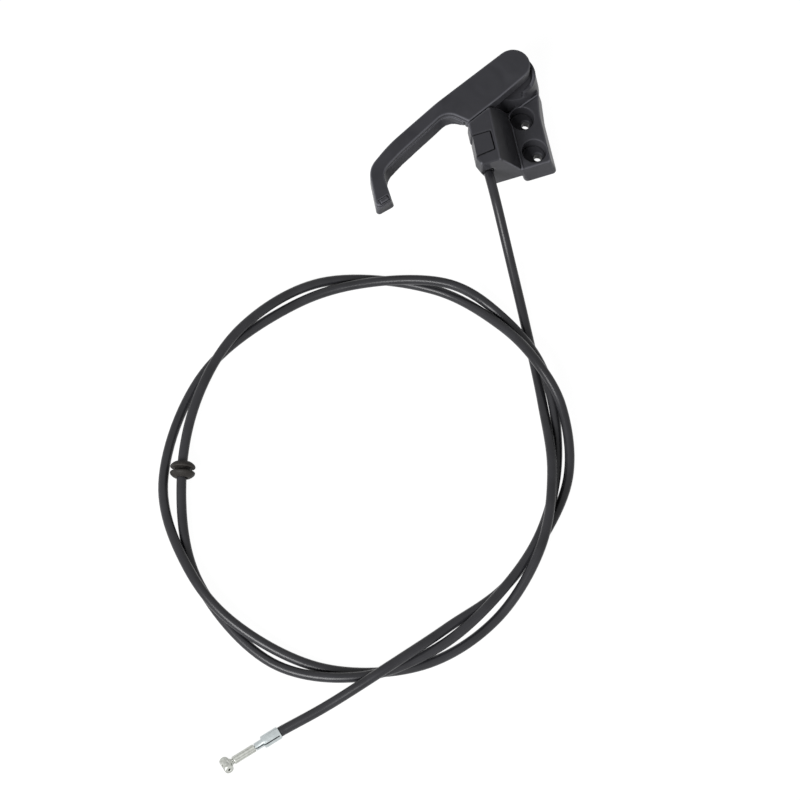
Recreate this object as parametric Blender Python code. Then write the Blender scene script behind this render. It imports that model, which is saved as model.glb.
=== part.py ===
"""Hood release handle: a lever on a screw-on housing that draws the wire of a sheathed cable.

Units are metres, +Z is up. The origin lies on the mounting face, midway between the two
screws. +Y runs up the housing towards the pivot, the cable leaves towards -Y, and the grip
arm reaches out towards -X.
"""
import math

import bmesh
import bpy
from mathutils import Matrix, Vector

MM = 0.001
GAP = 0.3 * MM
SMALL_ARC = 3
FINE_ARC = 6
FINE_ARC_FROM = 2.5 * MM

# Screw pad
PAD_TOP = 15.5 * MM
PAD_LEFT_LOW = -11.2 * MM
PAD_LEFT_HIGH = -7.6 * MM
PAD_RIGHT_LOW = 6.9 * MM
PAD_RIGHT_BEND = 10.2 * MM
PAD_RIGHT_BEND_Y = 9.4 * MM
PAD_RIGHT_HIGH = 14.6 * MM
PAD_FLARE = 4.2 * MM
PAD_HEAD_FLARE = 3.2 * MM
PAD_HEAD_SLOPE = 0.4 * MM
PAD_FOOT_STEP = 2.6 * MM
PAD_END_FLARE = 1.6 * MM
PAD_HEAD_LEFT = 15.7 * MM
PAD_HEAD_RIGHT = 25.9 * MM
PAD_CORNER = 1.6 * MM
PAD_FOOT_CORNER = 2.4 * MM
PAD_FOOT_EDGE = 1.2 * MM
END_FACE = -19.7 * MM
SCREW_PITCH = 21.3 * MM
SCREW_BORE = 4.8 * MM
SCREW_BORE_SHIFT = 2.3 * MM
SCREW_BORE_DROP = 0.8 * MM
SCREW_HEAD_BORE = 13.9 * MM
SCREW_HEAD_DEPTH = 8.4 * MM

# Cable boss
BOSS_TOP = 38.0 * MM
BOSS_FOOT = 6.5 * MM
BOSS_LEFT_CORNER = -34.9 * MM
BOSS_LEFT_LOW = -36.7 * MM
BOSS_CORNER_LENGTH = 5.4 * MM
BOSS_LEFT_HIGH = -33.2 * MM
BOSS_RIGHT_LOW = -24.0 * MM
BOSS_RIGHT_HIGH = -19.6 * MM
BOSS_FOOT_LEFT = -28.0 * MM
BOSS_WALL_HEIGHT = 12.0 * MM
BOSS_EDGE = 1.2 * MM
SLOPE_BULGE = 0.5 * MM
SLOPE_ROUND = 20.0 * MM
BOSS_LENGTH = 36.0 * MM
BOSS_INTO_PAD = 2.0 * MM
PAD_LIP = 0.8 * MM
FLOOR_THICK = 2.6 * MM

# Lever and pivot
PIVOT_X = 1.5 * MM
PIVOT_Y = 33.7 * MM
HEAD_RADIUS = 9.6 * MM
LEVER_DEPTH = 9.0 * MM
LEVER_SKIN = 2.8 * MM
LEVER_WALL = 2.4 * MM
ARM_DEPTH = 12.0 * MM
ARM_FLARE = 2.2 * MM
ARM_START = -34.6 * MM
ARM_GROOVE = 0.35 * MM
ARM_GROOVE_DROP = 3.2 * MM
LEVER_EDGE = 1.1 * MM
LEVER_CLEAR = 0.6 * MM
TIP_PAD_START = 2.9 * MM
TIP_PAD_INSET = 1.0 * MM
TIP_PAD_LENGTH = 5.2 * MM
TIP_PAD_WIDTH = 2.2 * MM
TIP_PAD_RISE = 0.35 * MM
PULL_ANGLE = math.radians(50)
HUB_RADIUS = 6.6 * MM
HUB_BELOW = 3.0 * MM
PEDESTAL_RADIUS = 13.4 * MM
PEDESTAL_RIM = 3.4 * MM
PEDESTAL_EDGE = 1.0 * MM
RIM_WIDTH = 2.0 * MM
RIM_RECESS = 5.0 * MM
RIM_OPEN_FROM = 2.3 * MM
SKIRT_FLARE = 3.4 * MM
SKIRT_LIFT = 1.2 * MM
SKIRT_WALL = 2.6 * MM
PIN_DIAMETER = 6.0 * MM
PIN_TAIL = 2.4 * MM
PIN_GROOVE_DEPTH = 0.6 * MM
WASHER_DIAMETER = 13.0 * MM
WASHER_THICK = 1.2 * MM

# Outlines seen from above, as (x, y, fillet)
LEVER_LOWER = [(-33.4 * MM, 7.9 * MM, 0.5 * MM), (-12.2 * MM, 16.7 * MM, 70 * MM)]
ARM_INNER = [
    (-88.6 * MM, -6.6 * MM, 9 * MM), (-76.0 * MM, 1.1 * MM, 60 * MM),
    (-43.4 * MM, 17.8 * MM, 8.5 * MM),
]
ARM_OUTER = [
    (-47.0 * MM, 24.4 * MM, 90 * MM), (-80.0 * MM, 8.4 * MM, 90 * MM),
    (-95.4 * MM, -2.4 * MM, 13 * MM),
]
ARM_TIP = [(-98.3 * MM, -26.4 * MM, 1.8 * MM), (-88.9 * MM, -23.7 * MM, 1.6 * MM)]
ARM_START_HIGH = 29.4 * MM
ARM_START_LOW = 12.4 * MM
WEB_CORE = [
    (5.7 * MM, 37.3 * MM, 3.5 * MM), (-40.0 * MM, 24.6 * MM, 2 * MM),
    (-46.0 * MM, 20.4 * MM, 1 * MM), (-38.6 * MM, 15.6 * MM, 1 * MM),
    (-33.0 * MM, 11.0 * MM, 1 * MM), (-11.0 * MM, 20.0 * MM, 10 * MM),
    (5.0 * MM, 28.6 * MM, 2 * MM),
]
FLOOR_OUTLINE = [
    (-32 * MM, 2 * MM, 2 * MM), (-9.5 * MM, 2 * MM, 0), (-7.4 * MM, 15 * MM, 0),
    (3.2 * MM, 20 * MM, 0), (-4 * MM, 29.5 * MM, 0), (-5 * MM, 36.5 * MM, 0),
    (-16 * MM, 34 * MM, 6 * MM),
]

# Cable run inside the handle
CABLE_X = -31.0 * MM
CABLE_DEPTH = 11.5 * MM
CABLE_STRAIGHT = 15.2 * MM
CABLE_TILT = math.radians(5)
SHEATH_DIAMETER = 5.4 * MM
WIRE_DIAMETER = 1.6 * MM
NIPPLE_DIAMETER = 6.0 * MM
NIPPLE_LENGTH = 9.0 * MM
NIPPLE_DROP = 5.0 * MM
NIPPLE_WALL = 2.2 * MM
BLOCK_WIDTH = 10.8 * MM
BLOCK_LENGTH = 11.4 * MM
BLOCK_START = 7.8 * MM
BLOCK_SLANT_LOW = 2.4 * MM
BLOCK_SLANT_HIGH = 1.0 * MM
BLOCK_DEPTH = 14.0 * MM
BLOCK_PROUD = 0.3 * MM
BLOCK_TAPER = 0.6 * MM
SLOT_REACH = 1.5
COLLAR_DIAMETER = 6.2 * MM
WIRE_TUNNEL = 3.4 * MM

# Far end of the cable
FERRULE_X = -233.4 * MM
FERRULE_Y = -280.0 * MM
FAR_TURN = math.radians(194.6)
FERRULE_DIAMETER = 6.8 * MM
FERRULE_LENGTH = 10.0 * MM
FERRULE_END_WALL = 2.0 * MM
SEAM_WIDTH = 0.7 * MM
SEAM_ROLL = math.radians(50)
NOSE_DIAMETER = 4.2 * MM
NOSE_LENGTH = 4.6 * MM
FAR_WIRE_SHOWN = 0.4 * MM
SHANK_DIAMETER = 4.4 * MM
SHANK_LENGTH = 14.0 * MM
SHANK_BORE_DEPTH = 7.0 * MM
FLUTE_COUNT = 8
FLUTE_DEPTH = 0.3 * MM
NECK_LENGTH = 1.0 * MM
FAN_LENGTH = 0.5 * MM
NECK_SHARE = 0.7
BARREL_DIAMETER = 5.0 * MM
BARREL_LENGTH = 8.8 * MM
BARREL_ROLL = math.radians(38)
BARREL_HOLE = 1.4 * MM
BARREL_HOLE_DEPTH = 1.5 * MM
BARREL_NOTCH = 1.0 * MM

# Grommet on the cable
GROMMET_DIAMETER = 13.8 * MM
GROMMET_CORE = 8.3 * MM
GROMMET_LENGTH = 8.8 * MM
GROMMET_GROOVE = 2.0 * MM
GROMMET_SEGMENT = 54
GROMMET_SHARE = 0.49

# Centre line of the cable, in millimetres, from the handle to the ferrule, chosen along the
# strands. Its first two and last points are worked out from the pieces that the cable meets.
CABLE_POINTS = [
    (-34.0, -68.0, 11.5), (-36.8, -102.3, 3.1), (-43.6, -151.4, 5.1),
    (-52.8, -192.4, 11.5), (-72.9, -230.7, 14.6), (-107.0, -258.2, 3.6), (-150.5, -269.2, 3.2),
    (-201.3, -254.8, 3.0), (-239.4, -217.8, 7.9), (-253.8, -182.8, 9.4), (-253.7, -131.1, 3.2),
    (-215.2, -77.2, 3.5), (-155.8, -53.5, 3.1), (-114.0, -55.3, 8.1), (-70.2, -72.2, 12.3),
    (-49.1, -95.4, 5.9), (-37.7, -134.3, 9.6), (-45.2, -181.3, 2.8), (-69.4, -221.6, 8.8),
    (-102.3, -247.3, 10.5), (-141.1, -263.8, 8.1), (-184.7, -266.0, 8.5), (-226.5, -243.3, 3.2),
    (-251.3, -186.6, 3.7), (-243.0, -131.3, 6.8), (-219.7, -88.0, 8.6), (-186.4, -58.7, 8.2),
    (-137.5, -45.7, 4.2), (-79.1, -68.6, 3.0), (-52.0, -101.8, 9.3), (-40.8, -130.6, 16.1),
    (-35.3, -158.3, 10.8), (-45.7, -198.3, 3.2), (-93.8, -241.3, 4.5), (-132.5, -255.0, 7.7),
    (-165.5, -265.9, 15.3), (-206.0, -275.2, 7.4),
]
CABLE_SAMPLES = 81
ROUTE_STEPS = 24

# Values that follow from the sizes above
PIVOT = Vector((PIVOT_X, PIVOT_Y, 0))
CABLE_LINE = Vector((math.sin(CABLE_TILT), math.cos(CABLE_TILT), 0))
CABLE_SIDE = Vector((-math.cos(CABLE_TILT), math.sin(CABLE_TILT), 0))
CABLE_HEIGHT = BOSS_TOP - CABLE_DEPTH
CABLE_EXIT = Vector((CABLE_X, END_FACE, CABLE_HEIGHT))
LEVER_BOTTOM = BOSS_TOP - LEVER_DEPTH
PEDESTAL_TOP = LEVER_BOTTOM - HUB_BELOW
ARM_BOTTOM = BOSS_TOP - ARM_DEPTH
FERRULE_HEIGHT = FERRULE_DIAMETER / 2 + 0.1 * MM
BARREL_DROP = BARREL_LENGTH / 2 * math.sin(BARREL_ROLL) + BARREL_DIAMETER / 2 * math.cos(BARREL_ROLL)
BARREL_OFFSET = FERRULE_LENGTH + NOSE_LENGTH + FAR_WIRE_SHOWN + SHANK_LENGTH + FAN_LENGTH
BARREL_OFFSET += BARREL_DIAMETER / 2
FAR_RISE = math.asin((BARREL_DROP + 0.1 * MM - FERRULE_HEIGHT) / BARREL_OFFSET)


def clear_scene():
    """Remove everything that the startup file brings."""
    for item in list(bpy.data.objects):
        bpy.data.objects.remove(item, do_unlink=True)


def material(name, colour, roughness, metallic=0.0):
    """Principled material in one plain colour."""
    made = bpy.data.materials.new(name)
    made.use_nodes = True
    shader = made.node_tree.nodes["Principled BSDF"]
    shader.inputs["Base Color"].default_value = (*colour, 1.0)
    shader.inputs["Roughness"].default_value = roughness
    shader.inputs["Metallic"].default_value = metallic
    return made


def arc(centre, radius, start, end, count):
    """Points on an arc, both ends included."""
    points = []
    for index in range(count + 1):
        angle = start + (end - start) * index / count
        points.append((centre[0] + radius * math.cos(angle), centre[1] + radius * math.sin(angle)))
    return points


def rounded(corners, closed=True):
    """Turn (x, y, radius) corners into an outline with true fillets."""
    points = []
    count = len(corners)
    for index, (x, y, radius) in enumerate(corners):
        here = Vector((x, y))
        inner = closed or 0 < index < count - 1
        if radius <= 0 or not inner:
            points.append((x, y))
            continue
        before = Vector(corners[index - 1][:2]) - here
        after = Vector(corners[(index + 1) % count][:2]) - here
        before.normalize()
        after.normalize()
        half = before.angle(after) / 2
        reach = radius / math.tan(half)
        centre = here + (before + after).normalized() * radius / math.sin(half)
        first = here + before * reach - centre
        last = here + after * reach - centre
        start = math.atan2(first.y, first.x)
        sweep = (math.atan2(last.y, last.x) - start + math.pi) % (2 * math.pi) - math.pi
        steps = FINE_ARC if radius > FINE_ARC_FROM else SMALL_ARC
        points += arc(centre, radius, start, start + sweep, steps)
    return points


def inset(corners, distance):
    """Move the corners of a counter-clockwise outline inwards and fit their fillets to it."""
    moved = []
    count = len(corners)
    for index, (x, y, radius) in enumerate(corners):
        here = Vector((x, y))
        back = (here - Vector(corners[index - 1][:2])).normalized()
        ahead = (Vector(corners[(index + 1) % count][:2]) - here).normalized()
        normal = Vector((-back.y - ahead.y, back.x + ahead.x)).normalized()
        place = here + normal * distance / normal.dot(Vector((-back.y, back.x)))
        convex = back.cross(ahead) > 0
        fitted = radius - distance if convex else radius + distance
        moved.append((place.x, place.y, max(fitted, 0.3 * MM) if radius > 0 else 0))
    return moved


def new_object(name, mesh_builder):
    """Object from a bmesh, with its faces turned out."""
    bmesh.ops.recalc_face_normals(mesh_builder, faces=mesh_builder.faces)
    mesh = bpy.data.meshes.new(name)
    mesh_builder.to_mesh(mesh)
    mesh_builder.free()
    made = bpy.data.objects.new(name, mesh)
    bpy.context.collection.objects.link(made)
    return made


def loft(name, rings):
    """Closed solid through rings with the same number of points."""
    work = bmesh.new()
    loops = [[work.verts.new(point) for point in ring] for ring in rings]
    for lower, upper in zip(loops, loops[1:]):
        for index in range(len(lower)):
            following = (index + 1) % len(lower)
            work.faces.new((lower[index], lower[following], upper[following], upper[index]))
    work.faces.new(list(reversed(loops[0])))
    work.faces.new(loops[-1])
    return new_object(name, work)


def prism(name, outline, bottom, top, foot=None):
    """Upright prism, or a tapered one when the foot has its own outline."""
    lower = [(x, y, bottom) for x, y in (foot or outline)]
    upper = [(x, y, top) for x, y in outline]
    return loft(name, [lower, upper])


def turned(name, profile, sides=32):
    """Solid of revolution about Z from (radius, height) points, run up the outside.

    A profile that starts and ends on the axis has flat ends, any other is a ring.
    """
    work = bmesh.new()
    ring_shaped = profile[0][0] > 0
    rings = []
    for radius, height in profile if ring_shaped else profile[1:-1]:
        ring = []
        for index in range(sides):
            angle = 2 * math.pi * index / sides
            ring.append(work.verts.new((radius * math.cos(angle), radius * math.sin(angle), height)))
        rings.append(ring)
    pairs = list(zip(rings, rings[1:]))
    if ring_shaped:
        pairs.append((rings[-1], rings[0]))
    for lower, upper in pairs:
        for index in range(sides):
            following = (index + 1) % sides
            work.faces.new((lower[index], lower[following], upper[following], upper[index]))
    if not ring_shaped:
        work.faces.new(list(reversed(rings[0])))
        work.faces.new(rings[-1])
    return new_object(name, work)


def rod(name, radius, start, end, sides=32):
    """Round bar between two points."""
    axis = Vector(end) - Vector(start)
    made = turned(name, [(0, 0), (radius, 0), (radius, axis.length), (0, axis.length)], sides)
    stand(made, start, axis)
    return made


def stand(item, place, axis):
    """Lay a piece that was turned about Z along another axis, with the turn in its mesh."""
    turn = Vector(axis).to_track_quat("Z", "Y").to_matrix().to_4x4()
    item.data.transform(Matrix.Translation(place) @ turn)


def box(name, low, high):
    """Upright box between two corners."""
    outline = [(low[0], low[1]), (high[0], low[1]), (high[0], high[1]), (low[0], high[1])]
    return prism(name, outline, low[2], high[2])


def combine(target, tool, operation):
    """Boolean with a helper that stays in the scene as a guide."""
    step = target.modifiers.new(tool.name, "BOOLEAN")
    step.operation = operation
    step.solver = "EXACT"
    step.object = tool
    tool.hide_render = True
    tool.display_type = "WIRE"


def cut(target, tool):
    """Take a helper away from a piece."""
    combine(target, tool, "DIFFERENCE")


def join(target, tool):
    """Add a helper to a piece."""
    combine(target, tool, "UNION")


def round_edges(item, width, segments=2, pick=None):
    """Bevel the picked edges of a mesh; pick is told both ends of an edge."""
    work = bmesh.new()
    work.from_mesh(item.data)
    edges = [edge for edge in work.edges if pick(edge.verts[0].co, edge.verts[1].co)]
    bmesh.ops.bevel(
        work, geom=edges, offset=width, segments=segments, profile=0.5, affect="EDGES",
        clamp_overlap=True,
    )
    work.to_mesh(item.data)
    work.free()


def move_origin(item, point):
    """Put the object's origin at a point and leave its shape where it is."""
    item.data.transform(Matrix.Translation(-Vector(point)))
    item.location = point


def smooth(item, angle=math.radians(35)):
    """Shade smooth, with edges sharper than the angle left crisp."""
    item.data.shade_smooth()
    item.data.set_sharp_from_angle(angle=angle)


def along_cable(distance, side=0.0, height=CABLE_HEIGHT):
    """Point on the cable's line inside the boss, measured from the end face."""
    point = CABLE_EXIT + CABLE_LINE * distance + CABLE_SIDE * side
    point.z = height
    return point


def nipple_place():
    """Centre of the nipple at rest: the pull swings it evenly across the cable's line."""
    reach = (CABLE_EXIT - PIVOT).dot(CABLE_SIDE)
    radius = reach / math.cos(PULL_ANGLE / 2)
    back = radius * math.sin(PULL_ANGLE / 2)
    place = PIVOT + CABLE_SIDE * reach - CABLE_LINE * back
    place.z = 0
    return place


# Housing


def pad():
    """Screw pad: straight lower end, slanting head edge, right wall flared to the foot."""
    top = [
        (PAD_LEFT_LOW, END_FACE, 0.4 * MM), (PAD_RIGHT_LOW, END_FACE, PAD_CORNER),
        (PAD_RIGHT_BEND, PAD_RIGHT_BEND_Y, 40 * MM), (PAD_RIGHT_HIGH, PAD_HEAD_RIGHT, 0.8 * MM),
        (PAD_LEFT_HIGH, PAD_HEAD_LEFT, 0.6 * MM),
    ]
    foot = [
        (PAD_LEFT_LOW + PAD_FOOT_STEP, END_FACE - PAD_END_FLARE, PAD_FOOT_CORNER),
        (PAD_RIGHT_LOW + PAD_FLARE, END_FACE - PAD_END_FLARE, PAD_FOOT_CORNER),
        (PAD_RIGHT_BEND + PAD_FLARE, PAD_RIGHT_BEND_Y, 40 * MM),
        (PAD_RIGHT_HIGH + PAD_HEAD_FLARE, PAD_HEAD_RIGHT - PAD_HEAD_SLOPE, 0.8 * MM),
        (PAD_LEFT_HIGH + PAD_FOOT_STEP, PAD_HEAD_LEFT, 0.6 * MM),
    ]
    made = prism("pad", rounded(top), 0, PAD_TOP, rounded(foot))
    round_edges(made, PAD_FOOT_EDGE, 2, lambda a, b: max(a.z, b.z) < 0.1 * MM)
    return made


def boss():
    """Cable boss with the sloped wall that falls from its top to the pad."""
    head = PAD_HEAD_LEFT - END_FACE
    places = [0, BOSS_CORNER_LENGTH, BOSS_LENGTH]
    lefts = [BOSS_LEFT_CORNER, BOSS_LEFT_LOW, BOSS_LEFT_HIGH]
    rings = []
    for place, left in zip(places, lefts):
        right = BOSS_RIGHT_LOW + (BOSS_RIGHT_HIGH - BOSS_RIGHT_LOW) * place / head
        pad_left = PAD_LEFT_LOW + (PAD_LEFT_HIGH - PAD_LEFT_LOW) * place / head
        inside = pad_left + BOSS_INTO_PAD
        middle = (right + pad_left) / 2 + SLOPE_BULGE
        section = [
            (inside, PAD_TOP - BOSS_INTO_PAD, 0), (pad_left + PAD_LIP, PAD_TOP - PAD_LIP, 0),
            (middle, (BOSS_TOP + PAD_TOP) / 2, SLOPE_ROUND), (right, BOSS_TOP, BOSS_EDGE),
            (left, BOSS_TOP, BOSS_EDGE / 2), (left, BOSS_TOP - BOSS_WALL_HEIGHT, 5 * MM),
            (BOSS_FOOT_LEFT, BOSS_FOOT, 3 * MM), (inside, BOSS_FOOT, 0),
        ]
        rings.append([(x, END_FACE + place, z) for x, z in rounded(section)])
    return loft("boss", rings)


def floor():
    """Thin floor that ties the boss and the pad to the pedestal, clear of the pin's bore."""
    return prism("floor", rounded(FLOOR_OUTLINE), BOSS_FOOT + 0.2 * MM, BOSS_FOOT + FLOOR_THICK)


def pedestal():
    """Flared column under the lever's head: a raised rim above, cored below for the washer."""
    edge = PEDESTAL_EDGE
    rim_foot = PEDESTAL_TOP - PEDESTAL_RIM
    bore = PIN_DIAMETER / 2 + GAP
    flared = PEDESTAL_RADIUS + SKIRT_FLARE
    column = turned("pedestal", [
        (bore, BOSS_FOOT), (PEDESTAL_RADIUS - SKIRT_WALL + MM, BOSS_FOOT),
        (flared - SKIRT_WALL, SKIRT_LIFT), (flared, SKIRT_LIFT),
        (flared - 0.3 * MM, SKIRT_LIFT + 4 * MM), (PEDESTAL_RADIUS + 0.2 * MM, rim_foot),
        (PEDESTAL_RADIUS, PEDESTAL_TOP - edge),
        (PEDESTAL_RADIUS - 0.3 * edge, PEDESTAL_TOP - 0.3 * edge),
        (PEDESTAL_RADIUS - edge, PEDESTAL_TOP), (PEDESTAL_RADIUS - RIM_WIDTH, PEDESTAL_TOP),
        (PEDESTAL_RADIUS - RIM_WIDTH, PEDESTAL_TOP - RIM_RECESS), (bore, PEDESTAL_TOP - RIM_RECESS),
    ], 48)
    column.data.transform(Matrix.Translation(PIVOT))
    return column


def rim_opening():
    """Opens the rim on the side that the lever's web sweeps over."""
    reach = PEDESTAL_RADIUS + MM
    low = (PIVOT_X - reach, PIVOT_Y - reach, PEDESTAL_TOP - RIM_RECESS)
    return box("rim_opening", low, (PIVOT_X + RIM_OPEN_FROM, PIVOT_Y, PEDESTAL_TOP + MM))


def cut_screw_holes(body):
    """Two round recesses for the screw heads, each with its hole near the outer side."""
    seat = PAD_TOP - SCREW_HEAD_DEPTH
    for index, side in enumerate((-1, 1)):
        place = Vector((0, side * SCREW_PITCH / 2, 0))
        head = rod(
            "screw_seat_%d" % (index + 1), SCREW_HEAD_BORE / 2, place + Vector((0, 0, seat)),
            place + Vector((0, 0, PAD_TOP + MM)), 36,
        )
        cut(body, head)
        place += Vector((SCREW_BORE_SHIFT, -SCREW_BORE_DROP, 0))
        shank = rod(
            "screw_hole_%d" % (index + 1), SCREW_BORE / 2, place + Vector((0, 0, -MM)),
            place + Vector((0, 0, seat + MM)), 20,
        )
        cut(body, shank)


def housing(black):
    """One moulding: boss, pad, floor and pedestal, with the cable's pocket and channels."""
    body = boss()
    body.name = "housing"
    cut(body, lever_edge_cutter())
    join(body, pad())
    join(body, pedestal())
    join(body, floor())
    cut(body, rim_opening())
    cut_screw_holes(body)
    cut(body, block_outline("block_pocket", GAP, BOSS_TOP + MM, BOSS_TOP - BLOCK_DEPTH - GAP))
    channel = rod(
        "collar_channel", COLLAR_DIAMETER / 2 + GAP, along_cable(-MM), along_cable(BLOCK_START + MM),
    )
    cut(body, channel)
    tunnel = rod(
        "wire_tunnel", WIRE_TUNNEL / 2, along_cable(BLOCK_START + BLOCK_LENGTH - MM),
        along_cable(BOSS_LENGTH + MM), 20,
    )
    cut(body, tunnel)
    body.data.materials.append(black)
    smooth(body)
    return body


def lever_edge_cutter():
    """Clears the boss from the lever's lower edge."""
    corner, bend = Vector(LEVER_LOWER[0][:2]), Vector(LEVER_LOWER[1][:2])
    run = (bend - corner).normalized()
    normal = Vector((run.y, -run.x)) * LEVER_CLEAR
    start = corner + normal - run * BOSS_LENGTH / 2
    end = corner + normal + run * BOSS_LENGTH
    beyond = Vector((0, BOSS_LENGTH))
    outline = [tuple(start), tuple(end), tuple(end + beyond), tuple(start + beyond)]
    return prism("lever_edge", outline, BOSS_FOOT - MM, BOSS_TOP + MM)


def block_outline(name, clearance, top, bottom):
    """Slot and block share one outline; the slot is wider by the clearance and open to the left."""
    low = BLOCK_START - clearance
    high = BLOCK_START + BLOCK_LENGTH + clearance
    right = -BLOCK_WIDTH / 2 - clearance
    left = (CABLE_X - BOSS_LEFT_LOW) / math.cos(CABLE_TILT) + BLOCK_PROUD
    reach = SLOT_REACH if clearance > 0 else 1
    end_low = right + (left - right) * reach
    end_high = right + (left - BLOCK_TAPER - right) * reach
    corners = [
        (low, right), (high, right), (high - BLOCK_SLANT_HIGH * reach, end_high),
        (low - BLOCK_SLANT_LOW * reach, end_low),
    ]
    outline = [tuple(along_cable(run, side).xy) for run, side in corners]
    return prism(name, outline, bottom, top)


# Lever

def head_arc():
    """Round head of the lever about the pivot."""
    return arc(PIVOT, HEAD_RADIUS, math.radians(-60), math.radians(111), 2 * FINE_ARC)


def lever_outline():
    """Counter-clockwise top outline of the lever at rest."""
    head = head_arc()
    first, last = head[0], head[-1]
    corners = [(*last, 0)] + ARM_OUTER + ARM_TIP + ARM_INNER + LEVER_LOWER + [(*first, 0)]
    return head[1:-1] + rounded(corners, closed=False)


def arm_outline(wall, flare):
    """Outline of the grip arm, inside a wall, with its inner side pushed out by the flare."""
    start_high = (ARM_START, ARM_START_HIGH, 0)
    shift = Vector((0.45, -0.89)) * flare
    inner = [(x + shift.x, y + shift.y, radius) for x, y, radius in ARM_INNER]
    tip = ARM_TIP[1]
    tip_inner = (tip[0] + 0.8 * flare, tip[1], tip[2])
    start_low = (ARM_START, ARM_START_LOW - 0.6 * flare, 0)
    corners = [start_high] + ARM_OUTER + [ARM_TIP[0], tip_inner] + inner + [start_low]
    return rounded(inset(corners, wall))


def web_hollow():
    """Core of the lever's web, open below, around the hub, the nipple socket and the ribs."""
    hollow = prism("web_hollow", rounded(WEB_CORE), LEVER_BOTTOM - MM, BOSS_TOP - LEVER_SKIN)
    low = Vector((0, 0, LEVER_BOTTOM - 2 * MM))
    high = Vector((0, 0, BOSS_TOP))
    cut(hollow, rod("hub_core", HUB_RADIUS, PIVOT + low, PIVOT + high))
    place = nipple_place()
    socket = NIPPLE_DIAMETER / 2 + GAP + NIPPLE_WALL
    cut(hollow, rod("socket_core", socket, place + low, place + high))
    for index, (start, end) in enumerate(web_ribs()):
        run = (end - start).normalized()
        side = Vector((-run.y, run.x, 0)) * LEVER_WALL / 3
        corners = [start - side, end - side, end + side, start + side]
        outline = [tuple(corner.xy) for corner in corners]
        rib = prism("web_rib_%d" % (index + 1), outline, LEVER_BOTTOM - 2 * MM, BOSS_TOP)
        cut(hollow, rib)
    return hollow


def web_ribs():
    """Stiffening ribs inside the web: one along the pull, two across it."""
    place = nipple_place()
    run = (place - PIVOT).normalized()
    across = Vector((-run.y, run.x, 0))
    middle = PIVOT + (place - PIVOT) * 0.48
    return [
        (PIVOT, place + run * 14 * MM),
        (place - across * 14 * MM, place + across * 14 * MM),
        (middle - across * 12 * MM, middle + across * 12 * MM),
    ]


def tip_pad():
    """Small raised pad on the lever's top, beside the tip's edge."""
    run = (Vector(ARM_TIP[1][:2]) - Vector(ARM_TIP[0][:2])).normalized()
    inwards = Vector((-run.y, run.x))
    start = Vector(ARM_TIP[0][:2]) + run * TIP_PAD_START + inwards * TIP_PAD_INSET
    corners = [start, start + run * TIP_PAD_LENGTH]
    corners += [corners[1] + inwards * TIP_PAD_WIDTH, start + inwards * TIP_PAD_WIDTH]
    outline = [tuple(corner) for corner in corners]
    return prism("tip_pad", outline, BOSS_TOP - LEVER_SKIN / 2, BOSS_TOP + TIP_PAD_RISE)


def lever(black):
    """Flat head and web with a cranked, flared grip arm; hollow from below."""
    body = prism("lever", lever_outline(), LEVER_BOTTOM, BOSS_TOP)
    round_edges(body, LEVER_EDGE, 3, lambda a, b: min(a.z, b.z) > BOSS_TOP - 0.1 * MM)
    ridge = BOSS_TOP - ARM_GROOVE_DROP
    arm = prism("grip", arm_outline(ARM_GROOVE, 0), ARM_BOTTOM, ridge, arm_outline(0, ARM_FLARE))
    join(body, arm)
    join(body, tip_pad())
    hub = rod(
        "hub", HUB_RADIUS, PIVOT + Vector((0, 0, PEDESTAL_TOP - RIM_RECESS + GAP)),
        PIVOT + Vector((0, 0, BOSS_TOP - LEVER_SKIN)),
    )
    join(body, hub)
    cut(body, web_hollow())
    channel = arm_outline(LEVER_WALL, 0)
    cut(body, prism("grip_channel", channel, ARM_BOTTOM - MM, BOSS_TOP - 2 * LEVER_SKIN))
    bore = rod(
        "hub_bore", PIN_DIAMETER / 2 + GAP, PIVOT + Vector((0, 0, PEDESTAL_TOP - RIM_RECESS - MM)),
        PIVOT + Vector((0, 0, BOSS_TOP - LEVER_SKIN)),
    )
    cut(body, bore)
    top = LEVER_BOTTOM - NIPPLE_DROP + NIPPLE_LENGTH + GAP
    place = nipple_place()
    socket = rod(
        "nipple_socket", NIPPLE_DIAMETER / 2 + GAP, place + Vector((0, 0, LEVER_BOTTOM - 2 * MM)),
        place + Vector((0, 0, top)),
    )
    cut(body, socket)
    body.data.materials.append(black)
    smooth(body)
    move_origin(body, PIVOT)
    return body


def pivot_pin(steel):
    """Pin pressed into the lever's hub, grooved below the housing for its washer."""
    groove_top = BOSS_FOOT - GAP
    groove_foot = groove_top - WASHER_THICK
    radius = PIN_DIAMETER / 2
    inner = radius - PIN_GROOVE_DEPTH
    tail = groove_foot - PIN_TAIL
    chamfer = 0.5 * MM
    pin = turned("pivot_pin", [
        (0, tail), (radius - chamfer, tail), (radius, tail + chamfer), (radius, groove_foot - GAP),
        (inner, groove_foot - GAP), (inner, groove_top + GAP / 2), (radius, groove_top + GAP / 2),
        (radius, BOSS_TOP - LEVER_SKIN - GAP - chamfer),
        (radius - chamfer, BOSS_TOP - LEVER_SKIN - GAP), (0, BOSS_TOP - LEVER_SKIN - GAP),
    ])
    pin.data.transform(Matrix.Translation(PIVOT))
    pin.data.materials.append(steel)
    smooth(pin)
    move_origin(pin, PIVOT)
    return pin


def retaining_washer(steel):
    """Ring snapped into the pin's groove against the housing's underside."""
    top = BOSS_FOOT - GAP
    foot = top - WASHER_THICK
    inner = PIN_DIAMETER / 2 - PIN_GROOVE_DEPTH + GAP
    outer = WASHER_DIAMETER / 2
    chamfer = 0.2 * MM
    washer = turned("retaining_washer", [
        (inner, foot), (outer - chamfer, foot), (outer, foot + chamfer), (outer, top - chamfer),
        (outer - chamfer, top), (inner, top),
    ])
    washer.data.transform(Matrix.Translation(PIVOT))
    washer.data.materials.append(steel)
    smooth(washer)
    move_origin(washer, PIVOT)
    return washer


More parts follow.
